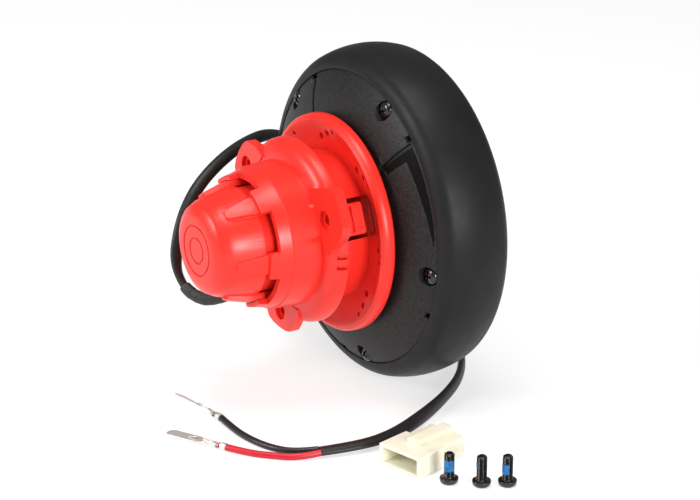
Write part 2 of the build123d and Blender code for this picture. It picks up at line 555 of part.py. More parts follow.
with BuildPart() as nose_cap:
    turn((0, NOSE_Y), (16.2, NOSE_Y), (17.4, NOSE_Y + 0.4), (20.6, -47.0), (21.4, -46.2), (23.5, -42.0),
         (27.0, CAP_BASE_Y), (27.0, CAP_BASE_Y + 0.8), (25.6, CAP_BASE_Y + 0.8), (25.6, -8.0), (23.6, -8.0),
         (23.6, -29.0), (21.4, -41.4), (18.6, -45.2), (16.0, -46.8), (0, -46.8))
    for step in range(6):
        angle = RIB_START + 60 * step
        with BuildSketch(Plane(origin=(0, 0, 0), x_dir=(0, 1, 0), z_dir=half_plane(angle).x_dir)) as rib:
            Polygon((-41.0, -1.2), (-40.4, -2.1), (-39.4, -2.6), (CAP_BASE_Y, -4.8), (CAP_TONGUE_Y, -4.8),
                    (CAP_TONGUE_Y, 4.8), (CAP_BASE_Y, 4.8), (-39.4, 2.6), (-40.4, 2.1), (-41.0, 1.2),
                    align=None)
        with BuildPart(mode=Mode.PRIVATE) as rib_body:
            extrude(rib.sketch, amount=34)
            turn((23.0, -41.5), (25.0, -41.0), (26.6, -37.0), (29.3, CAP_BASE_Y), (29.3, CAP_TONGUE_Y),
                 (26.2, CAP_TONGUE_Y), (26.2, CAP_BASE_Y), mode=Mode.INTERSECT)
        add(rib_body.part)
    for radius in (12.0, 6.2):
        turn((radius - 0.45, NOSE_Y), (radius + 0.45, NOSE_Y), (radius + 0.3, NOSE_Y + 0.6),
             (radius - 0.3, NOSE_Y + 0.6), mode=Mode.SUBTRACT)
nose_cap.part.label = "nose_cap"
export_step(nose_cap.part, "parts/nose_cap.step")

with BuildPart() as lug_nuts:
    with BuildSketch(facing(NUT_Y0 + 4.0)):
        with PolarLocations(LUG_PCR, 3, LUG_START):
            RegularPolygon(NUT_FLATS / 2, 6, major_radius=False)
    extrude(amount=4.0)
    rods(2.1, NUT_Y0, NUT_Y0 + 4, LUG_PCR, 3, LUG_START, mode=Mode.SUBTRACT)
lug_nuts.part.label = "lug_nuts"
export_step(lug_nuts.part, "parts/lug_nuts.step")

with BuildPart() as case_screws:
    rods(1.9, FLANGE_FLOOR_Y - 12, PLATE_BACK_Y - 0.3, CASE_SCREW_PCR, 3, CASE_SCREW_START)
    rods(3.5, PLATE_Y + 1.2, PLATE_BACK_Y - 0.3, CASE_SCREW_PCR, 3, CASE_SCREW_START)
    rods(1.2, PLATE_BACK_Y - 1.2, PLATE_BACK_Y, CASE_SCREW_PCR, 3, CASE_SCREW_START, mode=Mode.SUBTRACT)
case_screws.part.label = "case_screws"
export_step(case_screws.part, "parts/case_screws.step")

# ---------------------------------------------------------------- motor

CAN_WALL = 1.3
END_CAP_Y = -40.0
FRONT_BOSS = (6.2, 4.0)  # radius and height of the boss around the front bush

with BuildPart() as motor_can:
    turn((CAN_R - CAN_WALL, CAN_Y[0]), (CAN_R, CAN_Y[0]), (CAN_R, CAN_Y[1]), (FRONT_BOSS[0], CAN_Y[1]),
         (FRONT_BOSS[0], CAN_Y[1] + FRONT_BOSS[1]), (5.0, CAN_Y[1] + FRONT_BOSS[1]), (5.0, CAN_Y[1] - 2),
         (CAN_R - CAN_WALL, CAN_Y[1] - 2))
    rods(1.9, CAN_Y[1] - 2, CAN_Y[1], 14.5, 2, mode=Mode.SUBTRACT)
    rods(2.2, CAN_Y[1] - 2, CAN_Y[1], 14.5, 2, 90, mode=Mode.SUBTRACT)
motor_can.part.label = "motor_can"
export_step(motor_can.part, "parts/motor_can.step")

with BuildPart() as motor_end_cap:
    turn((5.0, CAN_Y[0]), (CAN_R - CAN_WALL, CAN_Y[0]), (CAN_R - CAN_WALL, CAN_Y[0] + 2), (12.2, CAN_Y[0] + 2),
         (12.2, CAN_Y[0] + 14), (10.4, CAN_Y[0] + 14), (10.4, CAN_Y[0] + 2), (5.0, CAN_Y[0] + 2))
    turn((5.0, CAN_Y[0]), (5.0, END_CAP_Y), (8.5, END_CAP_Y), (8.5, CAN_Y[0]))
    with BuildSketch(facing(CAN_Y[0] + 14)) as brush_slots:
        with PolarLocations(11.3, 2):
            Rectangle(4, 5.1)
    extrude(brush_slots.sketch, amount=12, mode=Mode.SUBTRACT)
    with BuildSketch(facing(CAN_Y[0] + 2)) as blade_slots:
        with PolarLocations(15.0, 2, 90):
            Rectangle(1.0, 5.0)
    extrude(blade_slots.sketch, amount=3, mode=Mode.SUBTRACT)
motor_end_cap.part.label = "motor_end_cap"
export_step(motor_end_cap.part, "parts/motor_end_cap.step")

with BuildPart() as motor_blades:
    with BuildSketch(facing(CAN_Y[0] + 3)):
        with PolarLocations(15.0, 2, 90):
            Rectangle(0.8, 4.8)
    extrude(amount=9)
motor_blades.part.label = "motor_blades"
export_step(motor_blades.part, "parts/motor_blades.step")

with BuildPart() as motor_bushes:
    for y0, y1 in ((CAN_Y[1] - 2, CAN_Y[1] + 4), (END_CAP_Y + 0.5, CAN_Y[0] + 2)):
        turn((SHAFT_R + 0.04, y0), (5.0, y0), (5.0, y1), (SHAFT_R + 0.04, y1))
motor_bushes.part.label = "motor_bushes"
export_step(motor_bushes.part, "parts/motor_bushes.step")

with BuildPart() as motor_magnets:
    for middle in (0, 180):
        turn_sector((15.0, -18), (CAN_R - CAN_WALL, -18), (CAN_R - CAN_WALL, 18), (15.0, 18),
                    middle=middle, width=140)
motor_magnets.part.label = "motor_magnets"
export_step(motor_magnets.part, "parts/motor_magnets.step")

with BuildPart() as carbon_brushes:
    with BuildSketch(facing(CAN_Y[0] + 13)):
        with PolarLocations(8.9, 2):
            Rectangle(5.6, 5.0)
    extrude(amount=6)
carbon_brushes.part.label = "carbon_brushes"
export_step(carbon_brushes.part, "parts/carbon_brushes.step")

with BuildPart() as motor_screws:
    rods(1.9, CAN_Y[1] - 2, FLANGE_BACK_Y, 14.5, 2)
    rods(3.4, FLANGE_BACK_Y, FLANGE_BACK_Y + 2.6, 14.5, 2)
    rods(1.2, FLANGE_BACK_Y + 1.2, FLANGE_BACK_Y + 2.6, 14.5, 2, mode=Mode.SUBTRACT)
motor_screws.part.label = "motor_screws"
export_step(motor_screws.part, "parts/motor_screws.step")

CORE_Y = (-14.0, 14.0)
CORE_R = 14.4

with BuildPart() as motor_shaft:
    rods(SHAFT_R, END_CAP_Y + 1.0, GEAR_Y[1] + 1.0, 0, 1)
motor_shaft.part.label = "motor_shaft"
export_step(motor_shaft.part, "parts/motor_shaft.step")

with BuildPart() as armature_core:
    rods(CORE_R, *CORE_Y, 0, 1)
    with BuildSketch(facing(CORE_Y[1])) as slots:
        with PolarLocations(9.6, 10):
            Rectangle(6.4, 3.4)
        with PolarLocations(13.6, 10):
            Rectangle(2.6, 1.2)
    extrude(slots.sketch, amount=CORE_Y[1] - CORE_Y[0], mode=Mode.SUBTRACT)
    rods(SHAFT_R, *CORE_Y, 0, 1, mode=Mode.SUBTRACT)
armature_core.part.label = "armature_core"
export_step(armature_core.part, "parts/armature_core.step")

with BuildPart() as armature_windings:
    with BuildSketch(facing(CORE_Y[1])) as coils:
        with PolarLocations(9.6, 10):
            Rectangle(6.2, 3.2)
    extrude(coils.sketch, amount=CORE_Y[1] - CORE_Y[0])
    turn((3.4, CORE_Y[1]), (12.8, CORE_Y[1]), (12.6, CORE_Y[1] + 3.5), (10.5, CORE_Y[1] + 6),
         (6, CORE_Y[1] + 6), (3.4, CORE_Y[1] + 4))
    turn((3.4, CORE_Y[0]), (12.8, CORE_Y[0]), (12.6, CORE_Y[0] - 3.0), (10.5, CORE_Y[0] - 5),
         (6, CORE_Y[0] - 5), (3.4, CORE_Y[0] - 3.5))
armature_windings.part.label = "armature_windings"
export_step(armature_windings.part, "parts/armature_windings.step")

with BuildPart() as commutator:
    rods(6.0, CAN_Y[0] + 5, CORE_Y[0] - 6, 0, 1)
    rods(SHAFT_R, CAN_Y[0] + 5, CORE_Y[0] - 6, 0, 1, mode=Mode.SUBTRACT)
    with BuildSketch(facing(CORE_Y[0] - 6)) as gaps:
        with PolarLocations(6.0, 10):
            Rectangle(1.4, 0.5)
    extrude(gaps.sketch, amount=11, mode=Mode.SUBTRACT)
commutator.part.label = "commutator"
export_step(commutator.part, "parts/commutator.step")

# ---------------------------------------------------------------- lead

BOOT_LENGTH = 19.0  # from the outlet's root to the boot's tip
boot_tip = Vector(*OUTLET) + OUTLET_DIR * BOOT_LENGTH
boot_side = Vector(0, 0, 1).cross(OUTLET_DIR).normalized()

with BuildPart() as cord_strain_relief:
    # the profile's second coordinate runs along the lead
    with BuildSketch(Plane(origin=OUTLET, x_dir=OUTLET_DIR.cross(boot_side), z_dir=boot_side)):
        with BuildLine():
            Polyline((0, -3), (3.9, -3), (3.9, OUTLET_FACE), (5.6, OUTLET_FACE), (5.6, OUTLET_FACE + 2),
                     (4.8, OUTLET_FACE + 2.4), (3.6, BOOT_LENGTH), (0, BOOT_LENGTH), close=True)
        make_face()
    revolve(axis=Axis(OUTLET, OUTLET_DIR))
cord_strain_relief.part.label = "cord_strain_relief"
export_step(cord_strain_relief.part, "parts/cord_strain_relief.step")

CORD_Z = FLOOR_Z + CORD_D / 2 + 0.05  # where the lead and its wires lie on the floor
WIRE_Z = FLOOR_Z + WIRE_D / 2 + 0.05
CRIMP_Z = FLOOR_Z + 2.1  # axis of the terminals' barrels

CORD_ROUTE = [
    boot_tip, boot_tip + OUTLET_DIR * 10.5, (-44.1, -29, -44.1), (-52.1, -33.7, -39), (-58.5, -34.2, -29.5),
    (-62, -29.5, -18.3), (-65.5, -21, -7), (-70, -9.5, 4), (-76, 6, 12), (-84, 25, 16.5), (-92, 46, 16.5),
    (-98, 67, 5), (-94, 85, -14), (-78, 98, -37), (-54, 104, -59), (-28, 105, -76), (-3, 101, CORD_Z + 0.3),
    (19, 90.5, CORD_Z), (39, 75, CORD_Z), (54.5, 55.5, CORD_Z), (67.5, 34, CORD_Z), (77, 13, CORD_Z),
    (79, -8, CORD_Z), (73, -26.5, CORD_Z),
]
RED_ROUTE = [(74.4, -26.9, CORD_Z), (72, -37, WIRE_Z), (64, -46, WIRE_Z), (55.5, -54, WIRE_Z),
             (46, -59.7, CRIMP_Z)]
BLACK_ROUTE = [(71.0, -25.9, CORD_Z), (66, -35.5, WIRE_Z), (56, -42.5, WIRE_Z), (43.5, -46, WIRE_Z),
               (30, -47, WIRE_Z), (16.5, -46.2, CRIMP_Z)]
RED_TIP = (16, -75)
BLACK_TIP = (-20.5, -50.5)


def bend_radii(points):
    """The arc radius at each corner of a route, as large as its two runs allow."""
    found = []
    for before, corner, after in zip(points, points[1:], points[2:]):
        run_in, run_out = Vector(*corner) - Vector(*before), Vector(*after) - Vector(*corner)
        half_turn = radians(run_in.get_angle(run_out) / 2)
        found.append(0.45 * min(run_in.length, run_out.length) / tan(half_turn))
    return found


def tube(points, diameter):
    """A round cord along a route, in straight runs joined by tangent arcs."""
    with BuildLine() as path:
        FilletPolyline(*points, radius=bend_radii(points))
    with BuildSketch(Plane(origin=path.line @ 0, z_dir=path.line % 0)) as section:
        Circle(diameter / 2)
    sweep(section.sketch, path=path.line)
    length = path.wire().length
    print(f"length {length:.1f}, radii", *[f"{radius:.1f}" for radius in bend_radii(points)])
    return pi * diameter ** 2 / 4 * length


with BuildPart() as power_cord:
    expected = tube(CORD_ROUTE, CORD_D)
power_cord.part.label = "power_cord"
print(f"power_cord volume {power_cord.part.volume:.1f}, section times length {expected:.1f}")
export_step(power_cord.part, "parts/power_cord.step")

with BuildPart() as red_wire:
    expected = tube(RED_ROUTE, WIRE_D)
red_wire.part.label = "red_wire"
print(f"red_wire volume {red_wire.part.volume:.1f}, section times length {expected:.1f}")
export_step(red_wire.part, "parts/red_wire.step")

with BuildPart() as black_wire:
    expected = tube(BLACK_ROUTE, WIRE_D)
black_wire.part.label = "black_wire"
print(f"black_wire volume {black_wire.part.volume:.1f}, section times length {expected:.1f}")
export_step(black_wire.part, "parts/black_wire.step")

BLADE = (6.3, 0.8)  # width and thickness of a tab terminal
BARREL_R, BARREL_LENGTH = 1.75, 13.0
BLADE_START = 15.0


def terminal(wire_end, tip, roll):
    """A crimped tab terminal in line with its wire: a barrel, a neck and a flat blade with a pointed tip."""
    reach = Vector(*tip) - Vector(*wire_end[:2])
    length = reach.length
    side = Vector(0, 0, 1).cross(reach).normalized()
    normal = Vector(0, 0, cos(radians(roll))) - side * sin(radians(roll))
    level = Plane(origin=wire_end, x_dir=(reach.X, reach.Y, 0), z_dir=normal)
    with BuildSketch(Plane(origin=wire_end, z_dir=(reach.X, reach.Y, 0))) as barrel:
        Circle(BARREL_R)
    extrude(barrel.sketch, amount=BARREL_LENGTH)
    with BuildSketch(level.offset(-BLADE[1] / 2)) as blade:
        Polygon((BARREL_LENGTH - 1, -1.3), (BLADE_START, -1.3), (BLADE_START + 1.5, -BLADE[0] / 2),
                (length - 2.5, -BLADE[0] / 2), (length, -1.2), (length, 1.2), (length - 2.5, BLADE[0] / 2),
                (BLADE_START + 1.5, BLADE[0] / 2), (BLADE_START, 1.3), (BARREL_LENGTH - 1, 1.3), align=None)
    extrude(blade.sketch, amount=BLADE[1])


with BuildPart() as red_terminal:
    terminal(RED_ROUTE[-1], RED_TIP, 0)
red_terminal.part.label = "red_terminal"
export_step(red_terminal.part, "parts/red_terminal.step")

with BuildPart() as black_terminal:
    terminal(BLACK_ROUTE[-1], BLACK_TIP, 20)
black_terminal.part.label = "black_terminal"
export_step(black_terminal.part, "parts/black_terminal.step")

# ---------------------------------------------------------------- loose kit on the floor

KIT_MOUTH = (105.9, -4.2, FLOOR_Z)  # middle of the connector's mouth, on the floor
KIT_YAW = 14.0
SHELL_W, SHELL_H, SHELL_L = 25.0, 10.5, 18.0
TAIL_W, TAIL_H, TAIL_END, TAIL_LIFT = 21.0, 8.0, 33.0, 2.0
RIDGE_W, RIDGE_TOP = 7.0, 13.0
CAVITY = (21.0, 7.5, 14.0)  # width, height and depth of the mouth

kit_floor = Plane(origin=KIT_MOUTH, x_dir=(cos(radians(KIT_YAW)), sin(radians(KIT_YAW)), 0), z_dir=(0, 0, 1))

with BuildPart() as connector_housing:
    with BuildSketch(kit_floor) as shell:
        with Locations((0, SHELL_L / 2)):
            Rectangle(SHELL_W, SHELL_L)
    extrude(shell.sketch, amount=SHELL_H)
    with BuildSketch(kit_floor.offset(TAIL_LIFT)) as tail:
        with Locations((0, (SHELL_L + TAIL_END) / 2)):
            Rectangle(TAIL_W, TAIL_END - SHELL_L)
    extrude(tail.sketch, amount=TAIL_H)
    with BuildSketch(kit_floor.offset(TAIL_LIFT + 1)) as ridge:
        with Locations((0, (SHELL_L / 2 + TAIL_END) / 2)):
            Rectangle(RIDGE_W, TAIL_END - SHELL_L / 2)
    extrude(ridge.sketch, amount=RIDGE_TOP - TAIL_LIFT - 1)
    with BuildSketch(kit_floor.offset((SHELL_H - CAVITY[1]) / 2)) as cavity:
        with Locations((0, CAVITY[2] / 2)):
            Rectangle(CAVITY[0], CAVITY[2])
    extrude(cavity.sketch, amount=CAVITY[1], mode=Mode.SUBTRACT)
    with BuildSketch(kit_floor.offset(TAIL_LIFT + 2)) as passages:
        with Locations((-4.9, (CAVITY[2] + TAIL_END) / 2), (4.9, (CAVITY[2] + TAIL_END) / 2)):
            Rectangle(7.2, TAIL_END - CAVITY[2])
    extrude(passages.sketch, amount=4.0, mode=Mode.SUBTRACT)
connector_housing.part.label = "connector_housing"
export_step(connector_housing.part, "parts/connector_housing.step")

KIT_SCREWS = [(127.1, 8.7), (137.3, 19.4), (143.1, 29.5)]  # M5 x 12 screws, each standing on its head
KIT_HEAD_R, KIT_HEAD_H, KIT_SHANK_R, KIT_LENGTH = 4.3, 3.0, 2.4, 15.0

for number, place in enumerate(KIT_SCREWS):
    with BuildPart() as mounting_screw:
        with BuildSketch(Plane(origin=(*place, FLOOR_Z), x_dir=(1, 0, 0), z_dir=(0, -1, 0))):
            with BuildLine():
                Polyline((0, 1.6), (1.4, 1.6), (1.4, 0), (3.0, 0), (3.9, 0.7), (KIT_HEAD_R, 1.8),
                         (KIT_HEAD_R, KIT_HEAD_H), (KIT_SHANK_R, KIT_HEAD_H), (KIT_SHANK_R, KIT_LENGTH - 0.8),
                         (KIT_SHANK_R - 0.7, KIT_LENGTH), (0, KIT_LENGTH), close=True)
            make_face()
        revolve(axis=Axis((*place, FLOOR_Z), (0, 0, 1)))
    mounting_screw.part.label = f"mounting_screw_{number + 1}"
    export_step(mounting_screw.part, f"parts/mounting_screw_{number + 1}.step")
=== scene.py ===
"""The looks of the hub motor wheel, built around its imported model.

Metres, in the model's own frame: the wheel axis is Y, the nose of the motor housing points along -Y,
+Z is up, and the origin is the centre of the three-lug bolt circle, on the floors of the lugs' screw
recesses. Polar angles are counted from +X towards +Z, as seen from the nose.
"""
import json
from math import atan2, cos, exp, pi, radians, sin

import bmesh
import bpy
from mathutils import Matrix, Vector


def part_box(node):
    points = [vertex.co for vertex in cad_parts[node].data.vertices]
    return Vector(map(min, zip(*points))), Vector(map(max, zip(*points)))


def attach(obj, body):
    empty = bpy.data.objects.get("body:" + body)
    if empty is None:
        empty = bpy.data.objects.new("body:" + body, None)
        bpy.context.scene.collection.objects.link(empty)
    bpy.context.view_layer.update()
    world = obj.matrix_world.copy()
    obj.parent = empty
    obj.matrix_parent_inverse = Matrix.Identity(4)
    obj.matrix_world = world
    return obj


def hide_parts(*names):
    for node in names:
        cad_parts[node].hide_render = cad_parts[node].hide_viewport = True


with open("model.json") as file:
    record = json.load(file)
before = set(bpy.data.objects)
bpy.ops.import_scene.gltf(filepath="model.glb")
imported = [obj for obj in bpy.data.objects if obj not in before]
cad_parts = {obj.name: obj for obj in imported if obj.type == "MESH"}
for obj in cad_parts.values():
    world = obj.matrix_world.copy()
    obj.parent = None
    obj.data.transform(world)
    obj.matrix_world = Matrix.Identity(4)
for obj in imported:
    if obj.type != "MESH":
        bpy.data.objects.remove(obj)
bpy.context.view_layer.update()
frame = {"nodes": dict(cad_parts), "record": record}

MM = 0.001
NODES = frame["nodes"]
TYRE_LOW, TYRE_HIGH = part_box("tyre")
FLOOR_Z = TYRE_LOW.z
WHEEL_Y = (TYRE_LOW.y + TYRE_HIGH.y) / 2
UP = Vector((0, 0, 1))


# ---------------------------------------------------------------- camera

VIEW_AZIMUTH, VIEW_ELEVATION = radians(57.9), radians(20.8)
VIEW_POINT = (0.9546, -0.5630, 0.4113)
SENSOR, LENS = 36.0, 127.3


def make_camera():
    """The camera, at the viewing angle of the product picture."""
    data = bpy.data.cameras.new("camera")
    data.sensor_width = SENSOR
    data.lens = LENS
    camera = bpy.data.objects.new("camera", data)
    bpy.context.scene.collection.objects.link(camera)
    back = Vector((sin(VIEW_AZIMUTH) * cos(VIEW_ELEVATION), -cos(VIEW_AZIMUTH) * cos(VIEW_ELEVATION),
                   sin(VIEW_ELEVATION)))
    camera.rotation_mode = "QUATERNION"
    camera.rotation_quaternion = (-back).to_track_quat("-Z", "Y")
    camera.location = VIEW_POINT
    bpy.context.scene.camera = camera


make_camera()


# ---------------------------------------------------------------- materials

def shader_tree(material):
    """A material's node tree, its shader and a texture position in metres."""
    material.use_nodes = True
    tree = material.node_tree
    place = tree.nodes.new("ShaderNodeTexCoord")
    return tree, tree.nodes["Principled BSDF"], place.outputs["Object"]


def noise(tree, position, size, detail=3.0, rough=0.5):
    """A noise texture whose features are about size metres across."""
    node = tree.nodes.new("ShaderNodeTexNoise")
    node.inputs["Scale"].default_value = 1 / size
    node.inputs["Detail"].default_value = detail
    node.inputs["Roughness"].default_value = rough
    tree.links.new(position, node.inputs["Vector"])
    return node.outputs["Fac"]


NOISE_LOW, NOISE_HIGH = 0.3, 0.7  # where nearly all of a noise texture's values lie


def spread(tree, value, low, high):
    """A noise value taken to low to high."""
    node = tree.nodes.new("ShaderNodeMapRange")
    node.inputs["From Min"].default_value = NOISE_LOW
    node.inputs["From Max"].default_value = NOISE_HIGH
    node.inputs["To Min"].default_value = low
    node.inputs["To Max"].default_value = high
    tree.links.new(value, node.inputs["Value"])
    return node.outputs["Result"]


def tinted(tree, value, dark, light):
    """A colour between dark and light, by a noise value."""
    ramp = tree.nodes.new("ShaderNodeValToRGB")
    ramp.color_ramp.elements[0].position = NOISE_LOW
    ramp.color_ramp.elements[1].position = NOISE_HIGH
    ramp.color_ramp.elements[0].color = (*dark, 1)
    ramp.color_ramp.elements[1].color = (*light, 1)
    tree.links.new(value, ramp.inputs["Fac"])
    return ramp.outputs["Color"]


def bumped(tree, shader, heights):
    """Stacked bump from (height, strength, distance) entries."""
    normal = None
    for height, strength, distance in heights:
        node = tree.nodes.new("ShaderNodeBump")
        node.inputs["Strength"].default_value = strength
        node.inputs["Distance"].default_value = distance
        tree.links.new(height, node.inputs["Height"])
        if normal:
            tree.links.new(normal, node.inputs["Normal"])
        normal = node.outputs["Normal"]
    tree.links.new(normal, shader.inputs["Normal"])


def surface(name, colour, vary, roughness, rough_vary, grain, *, metallic=0.0, specular=0.5, coat=0.0,
            coat_roughness=0.1, subsurface=0.0, depth=1.5 * MM, tint=(1.0, 0.4, 0.3), mottle=0.02):
    """A material: a colour that varies by the share vary in clouds of the size mottle, a roughness that
    varies by rough_vary, and grain as (feature size, bump strength, bump distance) entries."""
    material = bpy.data.materials.new(name)
    tree, shader, position = shader_tree(material)
    cloud = noise(tree, position, mottle, detail=4.0)
    dark = [channel * (1 - vary) for channel in colour]
    light = [min(channel * (1 + vary), 1.0) for channel in colour]
    tree.links.new(tinted(tree, cloud, dark, light), shader.inputs["Base Color"])
    smear = noise(tree, position, mottle / 3, detail=5.0)
    smeared = spread(tree, smear, roughness - rough_vary, roughness + rough_vary)
    tree.links.new(smeared, shader.inputs["Roughness"])
    bumped(tree, shader, [(noise(tree, position, size, detail=2.0), strength, distance)
                          for size, strength, distance in grain])
    shader.inputs["Metallic"].default_value = metallic
    shader.inputs["Specular IOR Level"].default_value = specular
    shader.inputs["Coat Weight"].default_value = coat
    shader.inputs["Coat Roughness"].default_value = coat_roughness
    shader.inputs["Subsurface Weight"].default_value = subsurface
    if subsurface:
        shader.inputs["Subsurface Scale"].default_value = depth
        shader.inputs["Subsurface Radius"].default_value = tint
    return material


RUBBER_GRAIN = [(0.5 * MM, 0.10, 0.1 * MM), (6 * MM, 0.06, 0.3 * MM)]
COVER_GRAIN = [(0.5 * MM, 0.7, 0.14 * MM), (1.2 * MM, 0.4, 0.18 * MM)]
MATERIALS = {
    "tyre_rubber": surface("tyre_rubber", (0.011, 0.011, 0.0112), 0.15, 0.46, 0.05, RUBBER_GRAIN, specular=0.18),
    "rim_plastic": surface("rim_plastic", (0.020, 0.020, 0.021), 0.1, 0.5, 0.05, [(0.4 * MM, 0.2, 0.1 * MM)]),
    "cover_plastic": surface("cover_plastic", (0.0135, 0.0125, 0.0127), 0.5, 0.46, 0.10, COVER_GRAIN,
                             specular=0.22, mottle=1.4 * MM),
    "screw_black": surface("screw_black", (0.004, 0.004, 0.0042), 0.2, 0.24, 0.07,
                           [(0.6 * MM, 0.08, 0.05 * MM)], coat=0.3, coat_roughness=0.15),
    "red_plastic": surface("red_plastic", (0.83, 0.025, 0.015), 0.04, 0.33, 0.04,
                           [(0.5 * MM, 0.05, 0.05 * MM), (5 * MM, 0.03, 0.3 * MM)], specular=0.38, mottle=30 * MM),
    "gear_nylon": surface("gear_nylon", (0.72, 0.69, 0.60), 0.05, 0.45, 0.05, [(0.6 * MM, 0.06, 0.05 * MM)],
                          subsurface=0.1),
    "gear_steel": surface("gear_steel", (0.45, 0.45, 0.46), 0.1, 0.35, 0.08, [(0.3 * MM, 0.1, 0.03 * MM)],
                          metallic=1.0),
    "steel": surface("steel", (0.52, 0.52, 0.53), 0.1, 0.36, 0.08, [(0.4 * MM, 0.1, 0.03 * MM)], metallic=1.0),
    "bearing_steel": surface("bearing_steel", (0.66, 0.66, 0.67), 0.05, 0.18, 0.05, [(1 * MM, 0.03, 0.02 * MM)],
                             metallic=1.0),
    "bronze": surface("bronze", (0.45, 0.26, 0.10), 0.1, 0.4, 0.08, [(0.3 * MM, 0.15, 0.03 * MM)], metallic=1.0),
    "can_black": surface("can_black", (0.014, 0.014, 0.015), 0.15, 0.34, 0.06, [(0.5 * MM, 0.08, 0.05 * MM)]),
    "end_cap_plastic": surface("end_cap_plastic", (0.03, 0.03, 0.03), 0.1, 0.5, 0.05,
                               [(0.4 * MM, 0.15, 0.05 * MM)]),
    "magnet": surface("magnet", (0.07, 0.07, 0.07), 0.15, 0.6, 0.08, [(0.4 * MM, 0.2, 0.05 * MM)]),
    "carbon": surface("carbon", (0.03, 0.03, 0.03), 0.2, 0.5, 0.1, [(0.2 * MM, 0.3, 0.03 * MM)]),
    "core_steel": surface("core_steel", (0.22, 0.22, 0.23), 0.1, 0.5, 0.08, [(0.4 * MM, 0.2, 0.05 * MM)],
                          metallic=0.8),
    "winding_copper": surface("winding_copper", (0.50, 0.16, 0.05), 0.2, 0.3, 0.08, [(0.7 * MM, 0.5, 0.2 * MM)],
                              metallic=0.8, coat=0.3),
    "commutator_copper": surface("commutator_copper", (0.62, 0.27, 0.14), 0.12, 0.35, 0.08,
                                 [(0.3 * MM, 0.15, 0.03 * MM)], metallic=1.0),
    "cord_rubber": surface("cord_rubber", (0.014, 0.012, 0.012), 0.3, 0.46, 0.08,
                           [(0.5 * MM, 0.5, 0.1 * MM), (1.2 * MM, 0.35, 0.2 * MM)], specular=0.4, mottle=2 * MM),
    "wire_red": surface("wire_red", (0.52, 0.008, 0.022), 0.1, 0.36, 0.05, [(0.8 * MM, 0.08, 0.05 * MM)],
                        subsurface=0.08, mottle=8 * MM),
    "wire_black": surface("wire_black", (0.009, 0.0085, 0.0085), 0.15, 0.38, 0.05, [(0.8 * MM, 0.08, 0.05 * MM)],
                          mottle=8 * MM),
    "tin": surface("tin", (0.80, 0.79, 0.74), 0.05, 0.42, 0.06, [(0.8 * MM, 0.05, 0.02 * MM)], metallic=0.75,
                   mottle=3 * MM),
    "nylon_white": surface("nylon_white", (0.84, 0.80, 0.64), 0.05, 0.34, 0.05, [(0.8 * MM, 0.05, 0.05 * MM)],
                           subsurface=0.7, depth=4 * MM, tint=(1.0, 0.95, 0.7), mottle=12 * MM),
}
SLEEVE_RUBBER = surface("sleeve_rubber", (0.022, 0.021, 0.022), 0.15, 0.55, 0.06, [(0.6 * MM, 0.15, 0.06 * MM)],
                        mottle=6 * MM)
# Near-black and barely reflecting: painted shade for the channel on the front cover, laid on as a thin strip.
CHANNEL_PAINTED_SHADE = surface("channel_painted_shade", (0.003, 0.003, 0.0031), 0.2, 0.50, 0.05, [(1.5 * MM, 0.05, 0.05 * MM)],
                      specular=0.06)
THREAD_LOCK = surface("thread_lock", (0.0, 0.13, 0.36), 0.6, 0.45, 0.10, [(0.5 * MM, 0.4, 0.12 * MM)],
                      mottle=2 * MM)
NODE_SLOT = {row["node"]: row["material_slot"] for row in frame["record"]["subparts"]}


def dress(obj, slot_name, material=None):
    """Give an object its material, the slot's own unless another is given."""
    obj.data.materials.clear()
    obj.data.materials.append(material or MATERIALS[slot_name])


# ---------------------------------------------------------------- mesh helpers

def make_object(name, bm, sharp=32.0):
    """An object from a bmesh, smooth but for edges sharper than an angle in degrees."""
    bmesh.ops.recalc_face_normals(bm, faces=bm.faces)
    limit = radians(sharp)
    for face in bm.faces:
        face.smooth = True
    for edge in bm.edges:
        edge.smooth = len(edge.link_faces) == 2 and edge.calc_face_angle(0) < limit
    mesh = bpy.data.meshes.new(name)
    bm.to_mesh(mesh)
    bm.free()
    obj = bpy.data.objects.new(name, mesh)
    bpy.context.scene.collection.objects.link(obj)
    return obj


def finished(obj, body, slot_name, *replaced, material=None):
    """Dress a piece, make it ride on a body and stand for CAD nodes."""
    dress(obj, slot_name, material)
    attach(obj, body)
    if replaced:
        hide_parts(*replaced)
    return obj


def skin_rings(bm, rings, loop=False):
    """Faces between closed rings of points with the same count: capped at both ends, or joined in a loop."""
    loops = [[bm.verts.new(point) for point in ring] for ring in rings]
    count = len(loops[0])
    pairs = list(zip(loops, loops[1:])) + ([(loops[-1], loops[0])] if loop else [])
    for near, far in pairs:
        for i in range(count):
            j = (i + 1) % count
            bm.faces.new((near[i], near[j], far[j], far[i]))
    if not loop:
        bm.faces.new(list(reversed(loops[0])))
        bm.faces.new(loops[-1])


def lathe(bm, profile, steps=192, place=Matrix.Identity(4)):
    """Turn a closed outline of (radius, along) points about the local Y axis."""
    rings = []
    for step in range(steps):
        angle = 2 * pi * step / steps
        rings.append([place @ Vector((radius * cos(angle), along, radius * sin(angle)))
                      for radius, along in profile])
    skin_rings(bm, rings, loop=True)


def arc(start, tangent, end, steps):
    """Points after start along the arc that leaves it in a direction and reaches end."""
    start, end, tangent = Vector(start), Vector(end), Vector(tangent).normalized()
    chord = end - start
    cross = tangent.x * chord.y - tangent.y * chord.x
    radius = chord.length_squared / (2 * cross)
    centre = start + Vector((-tangent.y, tangent.x)) * radius
    turn = 2 * atan2(cross, tangent.dot(chord))
    points = []
    for step in range(1, steps + 1):
        angle = turn * step / steps
        arm = start - centre
        points.append((centre.x + arm.x * cos(angle) - arm.y * sin(angle),
                       centre.y + arm.x * sin(angle) + arm.y * cos(angle)))
    return points


